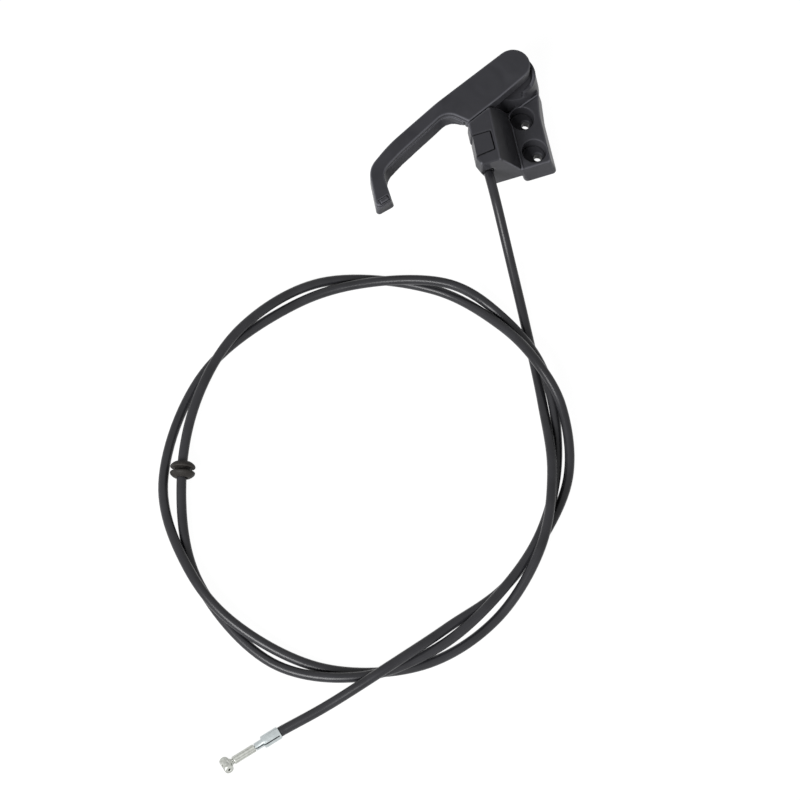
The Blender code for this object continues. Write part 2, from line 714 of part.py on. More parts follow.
def wire_nipple(zinc):
    """Zinc barrel that holds the wire in the lever's socket."""
    foot = LEVER_BOTTOM - NIPPLE_DROP
    radius = NIPPLE_DIAMETER / 2
    chamfer = 0.4 * MM
    nipple = turned("wire_nipple", [
        (0, foot), (radius - chamfer, foot), (radius, foot + chamfer),
        (radius, foot + NIPPLE_LENGTH - chamfer), (radius - chamfer, foot + NIPPLE_LENGTH),
        (0, foot + NIPPLE_LENGTH),
    ])
    nipple.data.transform(Matrix.Translation(nipple_place()))
    nipple.data.materials.append(zinc)
    smooth(nipple)
    move_origin(nipple, PIVOT)
    return nipple


def handle_wire(steel):
    """Inner wire from the sheath's end to the nipple."""
    reach = (nipple_place() - CABLE_EXIT).dot(CABLE_LINE)
    start = along_cable(GAP)
    end = along_cable(reach - NIPPLE_DIAMETER / 2 - GAP)
    wire = rod("handle_wire", WIRE_DIAMETER / 2, start, end, 12)
    wire.data.materials.append(steel)
    smooth(wire)
    move_origin(wire, start)
    return wire


def sheath_end_block(black):
    """Block in the boss with the collar that takes the end of the sheath."""
    block = block_outline("sheath_end_block", 0, BOSS_TOP - 0.05 * MM, BOSS_TOP - BLOCK_DEPTH)
    round_edges(block, 0.3 * MM, 1, lambda a, b: min(a.z, b.z) > BOSS_TOP - 0.2 * MM)
    collar = rod("collar", COLLAR_DIAMETER / 2, along_cable(0), along_cable(BLOCK_START + MM))
    join(block, collar)
    bore = rod(
        "wire_bore", WIRE_DIAMETER / 2 + GAP, along_cable(-MM),
        along_cable(BLOCK_START + BLOCK_LENGTH + MM), 16,
    )
    cut(block, bore)
    block.data.materials.append(black)
    smooth(block)
    return block


# Cable


def far_axis():
    """Direction of the cable's far end, rising to the height of the resting barrel."""
    flat = Vector((math.cos(FAR_TURN), math.sin(FAR_TURN), 0))
    return (flat * math.cos(FAR_RISE) + Vector((0, 0, math.sin(FAR_RISE)))).normalized()


def far_point(distance):
    """Point on the far end's axis, measured from the open end of the ferrule."""
    return Vector((FERRULE_X, FERRULE_Y, FERRULE_HEIGHT)) + far_axis() * distance


def sheath_bore():
    """How far the sheath reaches into the ferrule."""
    return FERRULE_LENGTH - FERRULE_END_WALL - GAP


def route():
    """Route points of the sheath from the collar to the ferrule's open end."""
    points = [along_cable(-GAP), along_cable(-CABLE_STRAIGHT)]
    points += [Vector(point) * MM for point in CABLE_POINTS]
    points.append(far_point(-2 * MM))
    return points


def spline(points, steps):
    """Centripetal curve through the points, finely sampled, never under the table."""
    knots = [0.0]
    for before, after in zip(points, points[1:]):
        knots.append(knots[-1] + math.sqrt((after - before).length))
    slopes = []
    for index in range(len(points)):
        low = max(index - 1, 0)
        high = min(index + 1, len(points) - 1)
        if index in (0, len(points) - 1):
            slopes.append((points[high] - points[low]) / (knots[high] - knots[low]))
            continue
        back = knots[index] - knots[low]
        ahead = knots[high] - knots[index]
        slope_back = (points[index] - points[low]) / back
        slope_ahead = (points[high] - points[index]) / ahead
        slopes.append((slope_back * ahead + slope_ahead * back) / (back + ahead))
    line = []
    for index in range(len(points) - 1):
        span = knots[index + 1] - knots[index]
        for step in range(steps):
            t = step / steps
            line.append(
                points[index] * (2 * t**3 - 3 * t**2 + 1)
                + slopes[index] * span * (t**3 - 2 * t**2 + t)
                + points[index + 1] * (3 * t**2 - 2 * t**3)
                + slopes[index + 1] * span * (t**3 - t**2)
            )
    line.append(points[-1])
    for point in line:
        point.z = max(point.z, SHEATH_DIAMETER / 2)
    return line


def even(line, count):
    """Points at equal distances along a line."""
    lengths = [0.0]
    for before, after in zip(line, line[1:]):
        lengths.append(lengths[-1] + (after - before).length)
    result = []
    cursor = 0
    for index in range(count):
        wanted = lengths[-1] * index / (count - 1)
        while cursor < len(line) - 2 and lengths[cursor + 1] < wanted:
            cursor += 1
        share = (wanted - lengths[cursor]) / (lengths[cursor + 1] - lengths[cursor])
        result.append(line[cursor].lerp(line[cursor + 1], min(max(share, 0), 1)))
    return result


def sheath_points():
    """Points of the sheath's centre line, from the collar into the ferrule."""
    return even(spline(route(), ROUTE_STEPS), CABLE_SAMPLES) + [far_point(sheath_bore())]


def cable_sheath(black):
    """Sheath as a tube along its route."""
    curve = bpy.data.curves.new("cable_sheath", "CURVE")
    curve.dimensions = "3D"
    curve.bevel_depth = SHEATH_DIAMETER / 2
    curve.bevel_resolution = 3
    curve.use_fill_caps = True
    curve.render_resolution_u = 0
    track = curve.splines.new("POLY")
    points = sheath_points()
    track.points.add(len(points) - 1)
    for node, point in zip(track.points, points):
        node.co = (*point, 1.0)
    curve.materials.append(black)
    sheath = bpy.data.objects.new("cable_sheath", curve)
    bpy.context.collection.objects.link(sheath)
    return sheath


def ferrule(zinc):
    """Rolled cap on the sheath's far end, with a narrower nose for the wire."""
    outer = FERRULE_DIAMETER / 2
    bore = SHEATH_DIAMETER / 2 + GAP
    nose = NOSE_DIAMETER / 2
    hole = WIRE_DIAMETER / 2 + GAP
    edge = 0.4 * MM
    shoulder = FERRULE_LENGTH
    tip = FERRULE_LENGTH + NOSE_LENGTH
    cap = turned("ferrule", [
        (bore, 0), (outer - edge / 2, 0), (outer, edge / 2), (outer, shoulder - edge),
        (outer - edge, shoulder), (nose, shoulder), (nose, tip - edge / 2), (nose - edge / 2, tip),
        (hole, tip), (hole, shoulder - FERRULE_END_WALL), (bore, shoulder - FERRULE_END_WALL),
    ], 28)
    seam = box(
        "ferrule_seam", (0, -SEAM_WIDTH / 2, MM),
        (outer + MM, SEAM_WIDTH / 2, tip + MM),
    )
    seam.data.transform(Matrix.Rotation(SEAM_ROLL, 4, "Z"))
    stand(cap, far_point(0), far_axis())
    stand(seam, far_point(0), far_axis())
    cut(cap, seam)
    cap.data.materials.append(zinc)
    smooth(cap)
    return cap


def far_wire(steel):
    """Inner wire from the ferrule into the end fitting."""
    start = far_point(sheath_bore() + GAP)
    end = far_point(FERRULE_LENGTH + NOSE_LENGTH + FAR_WIRE_SHOWN + SHANK_BORE_DEPTH - GAP)
    wire = rod("far_wire", WIRE_DIAMETER / 2, start, end, 12)
    wire.data.materials.append(steel)
    smooth(wire)
    return wire


def end_fitting(zinc):
    """Die-cast end: fluted shank, a neck that fans out, and a barrel across it."""
    base = far_point(FERRULE_LENGTH + NOSE_LENGTH + FAR_WIRE_SHOWN)
    shank = fluted_shank()
    stand(shank, base, far_axis())
    hole = WIRE_DIAMETER / 2 + GAP
    bore = rod("end_fitting_bore", hole, (0, 0, -MM), (0, 0, SHANK_BORE_DEPTH), 16)
    stand(bore, base, far_axis())
    cut(shank, bore)
    flat = Vector((-far_axis().y, far_axis().x, 0)).normalized()
    across = flat * math.cos(BARREL_ROLL) + Vector((0, 0, 1)) * math.sin(BARREL_ROLL)
    middle = far_point(BARREL_OFFSET)
    join(shank, neck_fan(base, middle, across))
    radius = BARREL_DIAMETER / 2
    half = BARREL_LENGTH / 2
    edge = 0.4 * MM
    barrel = turned("barrel", [
        (0, -half), (radius - edge, -half), (radius, -half + edge), (radius, half - edge),
        (radius - edge, half), (BARREL_HOLE / 2, half), (BARREL_HOLE / 2, half - BARREL_HOLE_DEPTH),
        (0, half - BARREL_HOLE_DEPTH),
    ], 28)
    stand(barrel, middle, across)
    join(shank, barrel)
    notch = box(
        "barrel_notch", (-radius, -BARREL_NOTCH / 2, 0.66 * radius),
        (radius, BARREL_NOTCH / 2, 2 * radius),
    )
    notch.data.transform(laid_across(middle, across))
    cut(shank, notch)
    shank.data.materials.append(zinc)
    smooth(shank)
    return shank


def laid_across(place, across):
    """Frame with Z along the far end's axis and Y along the barrel."""
    sideways = across.cross(far_axis())
    turn = Matrix((sideways, across, far_axis())).transposed().to_4x4()
    return Matrix.Translation(place) @ turn


def fluted_shank():
    """Shank with flutes along it, chamfered at its mouth and waisted at its neck."""
    outer = SHANK_DIAMETER / 2
    steps = [
        (0, 0.88), (0.4 * MM, 1), (SHANK_LENGTH - 1.5 * NECK_LENGTH, 1),
        (SHANK_LENGTH - NECK_LENGTH, NECK_SHARE), (SHANK_LENGTH + NECK_LENGTH, NECK_SHARE),
    ]
    rings = []
    for height, share in steps:
        ring = []
        for index in range(4 * FLUTE_COUNT):
            angle = 2 * math.pi * index / (4 * FLUTE_COUNT)
            radius = share * (outer if index % 4 < 2 else outer - FLUTE_DEPTH)
            ring.append((radius * math.cos(angle), radius * math.sin(angle), height))
        rings.append(ring)
    return loft("end_fitting", rings)


def neck_fan(base, middle, across):
    """Web that widens from the neck to the barrel."""
    reach = (middle - base).length
    narrow = SHANK_DIAMETER / 2 * NECK_SHARE
    wide = BARREL_LENGTH / 2 - 0.4 * MM
    thick = BARREL_DIAMETER / 2 * 0.8
    steps = [
        (SHANK_LENGTH - NECK_LENGTH / 2, 0.8 * narrow, 0.7 * narrow),
        (SHANK_LENGTH + 0.4 * FAN_LENGTH, 1.1 * narrow, 0.85 * narrow),
        (SHANK_LENGTH + 1.6 * FAN_LENGTH, 0.7 * wide, 0.75 * thick), (reach - 0.6 * thick, wide, thick),
    ]
    rings = []
    for height, half, deep in steps:
        corners = [(-deep, -half), (deep, -half), (deep, half), (-deep, half)]
        rings.append([(x, y, height - reach) for x, y in corners])
    fan = loft("neck_fan", rings)
    fan.data.transform(laid_across(middle, across))
    return fan


def grommet(rubber):
    """Two domed flanges on a grooved core, threaded on the cable."""
    half = GROMMET_LENGTH / 2
    groove = GROMMET_GROOVE / 2
    outer = GROMMET_DIAMETER / 2
    core = GROMMET_CORE / 2
    bore = SHEATH_DIAMETER / 2 + GAP
    dome = half - groove
    profile = [
        (bore, -half), (core * 1.05, -half), (outer * 0.78, -groove - 0.82 * dome),
        (outer * 0.95, -groove - 0.5 * dome), (outer, -groove - 0.2 * dome),
        (outer - 0.3 * MM, -groove), (core, -groove), (core, groove), (outer - 0.3 * MM, groove),
        (outer, groove + 0.2 * dome), (outer * 0.95, groove + 0.5 * dome),
        (outer * 0.78, groove + 0.82 * dome), (core * 1.05, half), (bore, half),
    ]
    ring = turned("grommet", profile)
    before, after = sheath_points()[GROMMET_SEGMENT:GROMMET_SEGMENT + 2]
    stand(ring, before.lerp(after, GROMMET_SHARE), after - before)
    ring.data.materials.append(rubber)
    smooth(ring)
    return ring


def main():
    """Build every piece of the handle and its cable."""
    clear_scene()
    nylon = material("black_nylon", (0.022, 0.022, 0.026), 0.45)
    sheath = material("black_sheath", (0.018, 0.018, 0.020), 0.38)
    rubber = material("black_rubber", (0.015, 0.015, 0.016), 0.65)
    steel = material("steel", (0.55, 0.56, 0.57), 0.32, 1.0)
    zinc = material("zinc", (0.60, 0.62, 0.62), 0.42, 1.0)
    housing(nylon)
    lever(nylon)
    pivot_pin(steel)
    retaining_washer(steel)
    wire_nipple(zinc)
    handle_wire(steel)
    sheath_end_block(nylon)
    cable_sheath(sheath)
    grommet(rubber)
    ferrule(zinc)
    far_wire(steel)
    end_fitting(zinc)


main()
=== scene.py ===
import math

import bmesh
import bpy
import numpy as np
from mathutils import Matrix, Vector


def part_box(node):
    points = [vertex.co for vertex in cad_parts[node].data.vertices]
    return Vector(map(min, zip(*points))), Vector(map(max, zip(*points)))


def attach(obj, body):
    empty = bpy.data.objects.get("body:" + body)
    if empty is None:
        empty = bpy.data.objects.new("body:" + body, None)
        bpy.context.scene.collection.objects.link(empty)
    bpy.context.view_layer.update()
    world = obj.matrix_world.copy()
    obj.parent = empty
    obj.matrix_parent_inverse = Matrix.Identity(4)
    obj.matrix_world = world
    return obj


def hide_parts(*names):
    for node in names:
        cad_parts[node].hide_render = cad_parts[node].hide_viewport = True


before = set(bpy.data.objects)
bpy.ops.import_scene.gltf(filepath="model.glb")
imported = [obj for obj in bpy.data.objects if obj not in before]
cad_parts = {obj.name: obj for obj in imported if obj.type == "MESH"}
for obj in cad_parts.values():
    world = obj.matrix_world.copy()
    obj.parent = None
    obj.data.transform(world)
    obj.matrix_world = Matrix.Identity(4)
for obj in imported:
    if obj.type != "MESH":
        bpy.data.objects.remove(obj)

bl_info = {
    "name": "Hood release handle",
    "version": (1, 0, 0),
    "blender": (4, 5, 0),
    "location": "3D View > Sidebar > Release handle",
    "description": "Finishes the release handle, its cable and the stage around them",
    "category": "Object",
}

MM = 0.001

# Centre line of the sheath in millimetres, from the housing to the ferrule, as in the solids.
CABLE_POINTS = [
    (-34.0, -68.0, 11.5), (-36.8, -102.3, 3.1), (-43.6, -151.4, 5.1),
    (-52.8, -192.4, 11.5), (-72.9, -230.7, 14.6), (-107.0, -258.2, 3.6), (-150.5, -269.2, 3.2),
    (-201.3, -254.8, 3.0), (-239.4, -217.8, 7.9), (-253.8, -182.8, 9.4), (-253.7, -131.1, 3.2),
    (-215.2, -77.2, 3.5), (-155.8, -53.5, 3.1), (-114.0, -55.3, 8.1), (-70.2, -72.2, 12.3),
    (-49.1, -95.4, 5.9), (-37.7, -134.3, 9.6), (-45.2, -181.3, 2.8), (-69.4, -221.6, 8.8),
    (-102.3, -247.3, 10.5), (-141.1, -263.8, 8.1), (-184.7, -266.0, 8.5), (-226.5, -243.3, 3.2),
    (-251.3, -186.6, 3.7), (-243.0, -131.3, 6.8), (-219.7, -88.0, 8.6), (-186.4, -58.7, 8.2),
    (-137.5, -45.7, 4.2), (-79.1, -68.6, 3.0), (-52.0, -101.8, 9.3), (-40.8, -130.6, 16.1),
    (-35.3, -158.3, 10.8), (-45.7, -198.3, 3.2), (-93.8, -241.3, 4.5), (-132.5, -255.0, 7.7),
    (-165.5, -265.9, 15.3), (-206.0, -275.2, 7.4),
]

# Ends of the sheath. The end fitting's barrel rests on the table, which sets the far end's rise.
CABLE_TURN = math.radians(5)
CABLE_EXIT = Vector((-31.0, -19.7, 26.5)) * MM
CABLE_LINE = Vector((math.sin(CABLE_TURN), math.cos(CABLE_TURN), 0))
CABLE_START = 0.3 * MM
CABLE_STRAIGHT = 15.2 * MM
CABLE_RUN_IN = 2 * MM
SPLINE_STEPS = 14
SHEATH_DIAMETER = 5.4 * MM
SHEATH_SIDES = 20
SHEATH_SEAT = 7.7 * MM
FERRULE_START = Vector((-233.4, -280.0, 3.5)) * MM
FAR_TURN = math.radians(194.6)
BARREL_DIAMETER = 5.0 * MM
BARREL_LENGTH = 8.8 * MM
BARREL_ROLL = math.radians(38)
BARREL_OFFSET = 32.0 * MM
BARREL_DROP = (
    BARREL_LENGTH / 2 * math.sin(BARREL_ROLL) + BARREL_DIAMETER / 2 * math.cos(BARREL_ROLL)
)
BARREL_GAP = 0.1 * MM
FAR_RISE = math.asin((BARREL_DROP + BARREL_GAP - FERRULE_START.z) / BARREL_OFFSET)
FAR_AXIS = Vector((
    math.cos(FAR_TURN) * math.cos(FAR_RISE), math.sin(FAR_TURN) * math.cos(FAR_RISE),
    math.sin(FAR_RISE),
))

# Inner wire. The strands' place, off the middle, and radius are shares of its diameter.
WIRE_DIAMETER = 1.6 * MM
WIRE_LAY = 9 * MM
WIRE_STRANDS = 7
STRAND_PLACE = 0.33
STRAND_RADIUS = 0.17
TWIST_STEPS = 24
STRAND_SIDES = 8
CORE_SIDES = 12
WIRE_END_REACH = 0.05 * MM

# Rounding of the copies: voxels and smoothing for mouldings and castings, a bevel for sheet
WELD_DISTANCE = 1e-6
MOULDING_VOXEL = 0.42 * MM
BLOCK_VOXEL = 0.22 * MM
GROMMET_VOXEL = 0.22 * MM
CASTING_VOXEL = 0.13 * MM
SMOOTH_FACTOR = 0.5
SMOOTH_ROUNDS = 5
FERRULE_BEVEL = 0.12 * MM
BEVEL_SEGMENTS = 2
FLAT_ANGLE = math.radians(1)
BEVEL_ANGLE = math.radians(35)
SHARP_ANGLE = math.radians(50)

# Relief on the lever. A facing is the least share of a surface's normal along one direction.
FINGER_SIDE_END = -33.6 * MM
FINGER_SIDE_FACING = 0.2
CRANK_SIDE = -6 * MM
CRANK_FACING = 0.4
WALL_FACING = 0.5
TOP_FACING = 0.5
TOP_REACH = 1 * MM
GROOVE_HEIGHT = 34.0 * MM
GROOVE_HALF = 0.75 * MM
GROOVE_DEPTH = 0.8 * MM
BEAD_HEIGHT = GROOVE_HEIGHT + 2 * GROOVE_HALF
BEAD_HALF = 1.6 * GROOVE_HALF
BEAD_RISE = 0.3 * MM
NOTCH_PLACE = -35.4 * MM
NOTCH_HALF = 1.2 * GROOVE_HALF
TIP_TURN = math.radians(16)
TIP_PAD_MIDDLE = Vector((-93.0, -23.1)) * MM
TIP_PAD_HALF = (2.6 * MM, 1.1 * MM)
TIP_PAD_RISE = 0.2 * MM
TIP_GROOVE_PLACE = 0.3 * MM
TIP_GROOVE_HALF = 0.45 * MM
TIP_GROOVE_DEPTH = 0.4 * MM

# Lip on the housing's screw pad, and the joint around the sheath's end block
PAD_TOP = 15.5 * MM
PAD_LINE = [Vector(corner) * MM for corner in ((-10.0, -19.4), (-6.3, 14.9), (12.8, 21.8))]
LIP_RISE = 0.35 * MM
LIP_HALF = 0.8 * MM
LIP_REACH = 0.9 * MM
BLOCK_SHRINK = 0.35 * MM

# Wear and painted highlight on edges, from 0 to 1, and the places that they reach or spare
EDGE_GAIN = 6
EDGE_SPREAD = 2
# Painted highlights: along the pad's lip, along the boss's long top edge, and glints on sharp
# corners
LIP_HIGHLIGHT = 0.75
BOSS_TOP = 38.0 * MM
BOSS_LINE = (Vector((-20.0, 12.0)) * MM, Vector((-24.3, -19.2)) * MM)
BOSS_HIGHLIGHT = 0.5
BOSS_HIGHLIGHT_DEPTH = 1.4 * MM
HIGHLIGHT_HALF = 1.3 * MM
GLINT_CORNERS = [Vector(corner) * MM for corner in (
    (-24.2, -19.2, 37.6), (-35.2, -18.6, 37.7), (6.6, -19.2, 15.3), (-10.5, -19.2, 15.4),
)]
SCREW_PLACE = 10.65 * MM
RECESS_RADIUS = 6.95 * MM
RIM_EDGE_SHARE = 0.35
RIM_HALF = 1.2 * MM
RIM_HEIGHT = 0.3 * MM
BLOCK_MARGIN = 1.2 * MM
# Space under the lever's head, which lies in shade: no wear and no painted highlight there.
UNDER_HEAD = (np.array((-24.0, 17.0, 16.2)) * MM, np.array((9.0, 62.0, 31.0)) * MM)

# Sizes of the features in the finishes
FLOW_MARK = 25 * MM
RIPPLE_LENGTH = 2 * MM
SHEATH_PATCH = 18 * MM
RUBBER_BLOOM = 4 * MM
RUBBER_GRAIN = 0.5 * MM
SPANGLE = 1.6 * MM
ROLLING_LINE = 0.25 * MM
CAST_MOTTLE = 1.8 * MM
CAST_GRAIN = 0.3 * MM
DRAWING_LINE = 0.4 * MM

# Stage: lengths in metres, the camera's sensor in millimetres
FLOOR_HALF = 4.0
FLOOR_PAPER = (0.86, 0.86, 0.86, 1)
GLOW_SHARE = 0.89
GLOW_STRENGTH = 1.1
WHITE = (1, 1, 1, 1)
LAMP_AIM = Vector((-0.12, -0.12, 0))
KEY_PLACE = (-1.25, -1.05, 1.25)
KEY_SIDE = 0.9
FILL_PLACE = (0.5, -1.4, 0.7)
FILL_SIDE = 0.7
FILL_SHARE = 0.015
CAMERA_PLACE = (-0.23855, -0.49928, 1.13325)
CAMERA_TILT = math.radians(19.2)
CAMERA_TURN = math.radians(-18)
CAMERA_NEAR = 0.05
SENSOR_WIDTH = 36


def linear(colour):
    """Turn an sRGB hex colour into linear red, green, blue and alpha."""
    values = []
    for start in (1, 3, 5):
        share = int(colour[start:start + 2], 16) / 255
        values.append(share / 12.92 if share <= 0.04045 else ((share + 0.055) / 1.055) ** 2.4)
    return (*values, 1.0)


# Settings


class HandleSizes(bpy.types.PropertyGroup):
    """Sizes of the finishing work, in metres."""

    grain: bpy.props.FloatProperty(
        name="Moulding grain", description="Size of the satin grain of the mouldings",
        default=0.35 * MM, unit="LENGTH",
    )
    wire_diameter: bpy.props.FloatProperty(
        name="Wire", description="Diameter of the stranded inner wire",
        default=WIRE_DIAMETER, unit="LENGTH",
    )
    strands: bpy.props.IntProperty(
        name="Strands", description="Outer strands of the inner wire", default=WIRE_STRANDS,
        min=3, max=19,
    )


class HandleColours(bpy.types.PropertyGroup):
    """Base colours of the finishes."""

    nylon: bpy.props.FloatVectorProperty(
        name="Nylon", description="Black moulded nylon of lever and housing",
        default=linear("#404044"), size=4, subtype="COLOR",
    )
    sheath: bpy.props.FloatVectorProperty(
        name="Sheath", description="Black extruded sheath of the cable",
        default=linear("#2b2b2e"), size=4, subtype="COLOR",
    )
    rubber: bpy.props.FloatVectorProperty(
        name="Rubber", description="Black rubber of the grommet",
        default=linear("#252321"), size=4, subtype="COLOR",
    )
    plate: bpy.props.FloatVectorProperty(
        name="Zinc plate", description="Bright zinc plating of the ferrule",
        default=linear("#bfc6c7"), size=4, subtype="COLOR",
    )
    cast: bpy.props.FloatVectorProperty(
        name="Cast zinc", description="Die-cast zinc of the end fitting",
        default=linear("#c8cac4"), size=4, subtype="COLOR",
    )
    steel: bpy.props.FloatVectorProperty(
        name="Steel", description="Bright drawn steel of wire, pin and washer",
        default=linear("#c3c6c8"), size=4, subtype="COLOR",
    )


class StageSettings(bpy.types.PropertyGroup):
    """Camera and light."""

    lens: bpy.props.FloatProperty(
        name="Lens", description="Focal length of the camera in millimetres", default=98.18,
    )
    sky: bpy.props.FloatProperty(
        name="Room light", description="Strength of the even light from the room", default=0.09,
    )
    key: bpy.props.FloatProperty(
        name="Key light", description="Power of the large soft lamp", default=45.0,
    )


def sizes():
    """Settings for sizes."""
    return bpy.context.scene.handle_sizes


def colours():
    """Settings for colours."""
    return bpy.context.scene.handle_colours


# Materials


def place(tree, kind, inputs=None, **settings):
    """Add a node, set it, and fill its inputs with values or with other nodes' outputs."""
    made = tree.nodes.new(kind)
    for key, value in settings.items():
        setattr(made, key, value)
    for key, value in (inputs or {}).items():
        if isinstance(value, bpy.types.NodeSocket):
            tree.links.new(value, made.inputs[key])
        else:
            made.inputs[key].default_value = value
    return made


def finish(name, roughness, ior=1.5, specular=0.5, metallic=0.0):
    """Plain material with its shader, ready for a pattern."""
    made = bpy.data.materials.new(name)
    made.use_nodes = True
    tree = made.node_tree
    shader = tree.nodes["Principled BSDF"]
    shader.inputs["Roughness"].default_value = roughness
    shader.inputs["Metallic"].default_value = metallic
    if metallic == 0:
        shader.inputs["IOR"].default_value = ior
        shader.inputs["Specular IOR Level"].default_value = specular
    return made, tree, shader


def ramp(tree, value, low, high, first, last):
    """Map one range of a pattern to another."""
    return place(tree, "ShaderNodeMapRange", {
        "Value": value, "From Min": low, "From Max": high, "To Min": first, "To Max": last,
    }).outputs["Result"]


def mix_colour(tree, share, first, second):
    """Mix two colours by a pattern."""
    made = place(tree, "ShaderNodeMix", {0: share}, data_type="RGBA")
    for socket, value in zip((made.inputs[6], made.inputs[7]), (first, second)):
        if isinstance(value, bpy.types.NodeSocket):
            tree.links.new(value, socket)
        else:
            socket.default_value = value
    return made.outputs[2]


def shade(colour, factor, lift=0.0):
    """Lighter or darker version of a colour."""
    return tuple(min(1, value * factor + lift) for value in colour[:3]) + (1.0,)


def speckle(tree, where, size, detail, **more):
    """Noise with features of one size: a scale of s draws features of about 1/s metres."""
    inputs = {"Vector": where, "Scale": 1 / size, "Detail": detail}
    inputs.update({key.capitalize(): value for key, value in more.items()})
    return place(tree, "ShaderNodeTexNoise", inputs).outputs["Fac"]


def tinted(tree, tone, mark, low, high, most, colour):
    """Lay a colour over a tone as one of the marks of mark_edges goes from low to high."""
    share = place(tree, "ShaderNodeAttribute", attribute_name=mark).outputs["Fac"]
    return mix_colour(tree, ramp(tree, share, low, high, 0.0, most), tone, colour)


def connect(tree, shader, tone, gloss):
    """Give the shader its colour and its roughness."""
    tree.links.new(tone, shader.inputs["Base Color"])
    tree.links.new(gloss, shader.inputs["Roughness"])


def relief(tree, shader, height, strength, distance):
    """Give the shader a relief of up to a distance in metres."""
    bump = place(tree, "ShaderNodeBump", {
        "Height": height, "Strength": strength, "Distance": distance,
    })
    tree.links.new(bump.outputs["Normal"], shader.inputs["Normal"])


def moulded_nylon():
    """Glass-filled nylon from a spark-eroded tool.

    The eye sees a dark satin with a fine even grain and broad faint flow marks from the gate.
    Edges are lighter, partly polished by handling and partly a painted highlight; hollows are
    darkened as painted shade.
    """
    made, tree, shader = finish("moulded_nylon", 0.42, ior=1.53, specular=0.06)
    where = place(tree, "ShaderNodeTexCoord").outputs["Object"]
    grain = speckle(tree, where, sizes().grain, 2.0, roughness=0.6)
    flow = speckle(tree, where, FLOW_MARK, 4.0, distortion=1.2)
    base = colours().nylon
    # The third colour lightens convex edges, partly as wear and partly as painted highlight; the
    # fourth is painted shade for hollows.
    lighter, darker, rubbed_and_highlit, painted_shade_tone = (shade(base, factor) for factor in (1.22, 0.86, 3.0, 0.3))
    tone = mix_colour(tree, ramp(tree, flow, 0.3, 0.7, 0.0, 1.0), darker, lighter)
    # Lighter convex edges: partly wear from handling, partly a painted highlight.
    tone = tinted(tree, tone, "edge", 0.12, 0.7, 0.85, rubbed_and_highlit)
    # Painted shade: concave hollows darkened toward 0.3 of the base colour.
    tone = tinted(tree, tone, "hollow", 0.1, 0.6, 0.9, painted_shade_tone)
    connect(tree, shader, tone, ramp(tree, flow, 0.25, 0.75, 0.29, 0.38))
    relief(tree, shader, grain, 0.22, 0.06 * MM)
    return made


def extruded_sheath():
    """Black polymer extruded over the cable's winding.

    The eye sees a soft long highlight, die lines along the cable, and a faint ripple where the
    steel winding below, wound at about 1.4 mm, shows through. The ripple is drawn at 2 mm.
    """
    made, tree, shader = finish("extruded_sheath", 0.36, ior=1.49, specular=0.26)
    along = place(tree, "ShaderNodeUVMap", uv_map="along").outputs["UV"]
    stretched = place(tree, "ShaderNodeMapping", {
        "Vector": along, "Scale": (26.0, 9.0, 1.0),
    }).outputs["Vector"]
    lines = speckle(tree, stretched, 1.0, 3.0)
    where = place(tree, "ShaderNodeTexCoord").outputs["Object"]
    patch = speckle(tree, where, SHEATH_PATCH, 3.0)
    base = colours().sheath
    lighter, darker = shade(base, 1.35), shade(base, 0.8)
    tone = mix_colour(tree, ramp(tree, patch, 0.35, 0.7, 0.0, 1.0), darker, lighter)
    connect(tree, shader, tone, ramp(tree, lines, 0.3, 0.7, 0.22, 0.34))
    travelled = place(tree, "ShaderNodeSeparateXYZ", {0: along}).outputs["Y"]
    turns = place(tree, "ShaderNodeMath", {0: travelled, 1: 2 * math.pi / RIPPLE_LENGTH},
                  operation="MULTIPLY").outputs[0]
    ripple = place(tree, "ShaderNodeMath", {0: turns}, operation="SINE").outputs[0]
    both = place(tree, "ShaderNodeMath", {0: ripple, 1: 0.12, 2: lines},
                 operation="MULTIPLY_ADD").outputs[0]
    relief(tree, shader, both, 0.25, 0.05 * MM)
    return made


def moulded_rubber():
    """Black rubber from a matt tool, with the pale bloom that such rubber gets."""
    made, tree, shader = finish("moulded_rubber", 0.62, ior=1.52, specular=0.2)
    where = place(tree, "ShaderNodeTexCoord").outputs["Object"]
    bloom = speckle(tree, where, RUBBER_BLOOM, 5.0, roughness=0.65)
    fine = speckle(tree, where, RUBBER_GRAIN, 2.0)
    base = colours().rubber
    dusty, rubbed_and_highlit = shade(base, 2.0, 0.004), shade(base, 3.0)
    tone = mix_colour(tree, ramp(tree, bloom, 0.42, 0.8, 0.0, 0.7), base, dusty)
    # Lighter convex edges: partly wear, partly a painted highlight.
    tone = tinted(tree, tone, "edge", 0.1, 0.7, 0.3, rubbed_and_highlit)
    connect(tree, shader, tone, ramp(tree, bloom, 0.3, 0.8, 0.55, 0.75))
    relief(tree, shader, fine, 0.3, 0.08 * MM)
    return made


def rolled_zinc_plate():
    """Steel strip with bright zinc plating: cool grey, rolling lines, a faint spangle."""
    made, tree, shader = finish("rolled_zinc_plate", 0.3, metallic=1.0)
    where = place(tree, "ShaderNodeTexCoord").outputs["Object"]
    spangle = place(tree, "ShaderNodeTexVoronoi", {
        "Vector": where, "Scale": 1 / SPANGLE,
    }).outputs["Color"]
    value = place(tree, "ShaderNodeSeparateColor", {0: spangle}).outputs[0]
    base = colours().plate
    darker = shade(base, 0.82)
    tone = mix_colour(tree, ramp(tree, value, 0.0, 1.0, 0.0, 0.6), base, darker)
    rolled = place(tree, "ShaderNodeMapping", {
        "Vector": where, "Rotation": (0.0, 0.0, -FAR_TURN), "Scale": (0.12, 1.0, 1.0),
    }).outputs["Vector"]
    lines = speckle(tree, rolled, ROLLING_LINE, 2.0)
    connect(tree, shader, tone, ramp(tree, lines, 0.3, 0.7, 0.24, 0.4))
    relief(tree, shader, lines, 0.2, 0.03 * MM)
    return made


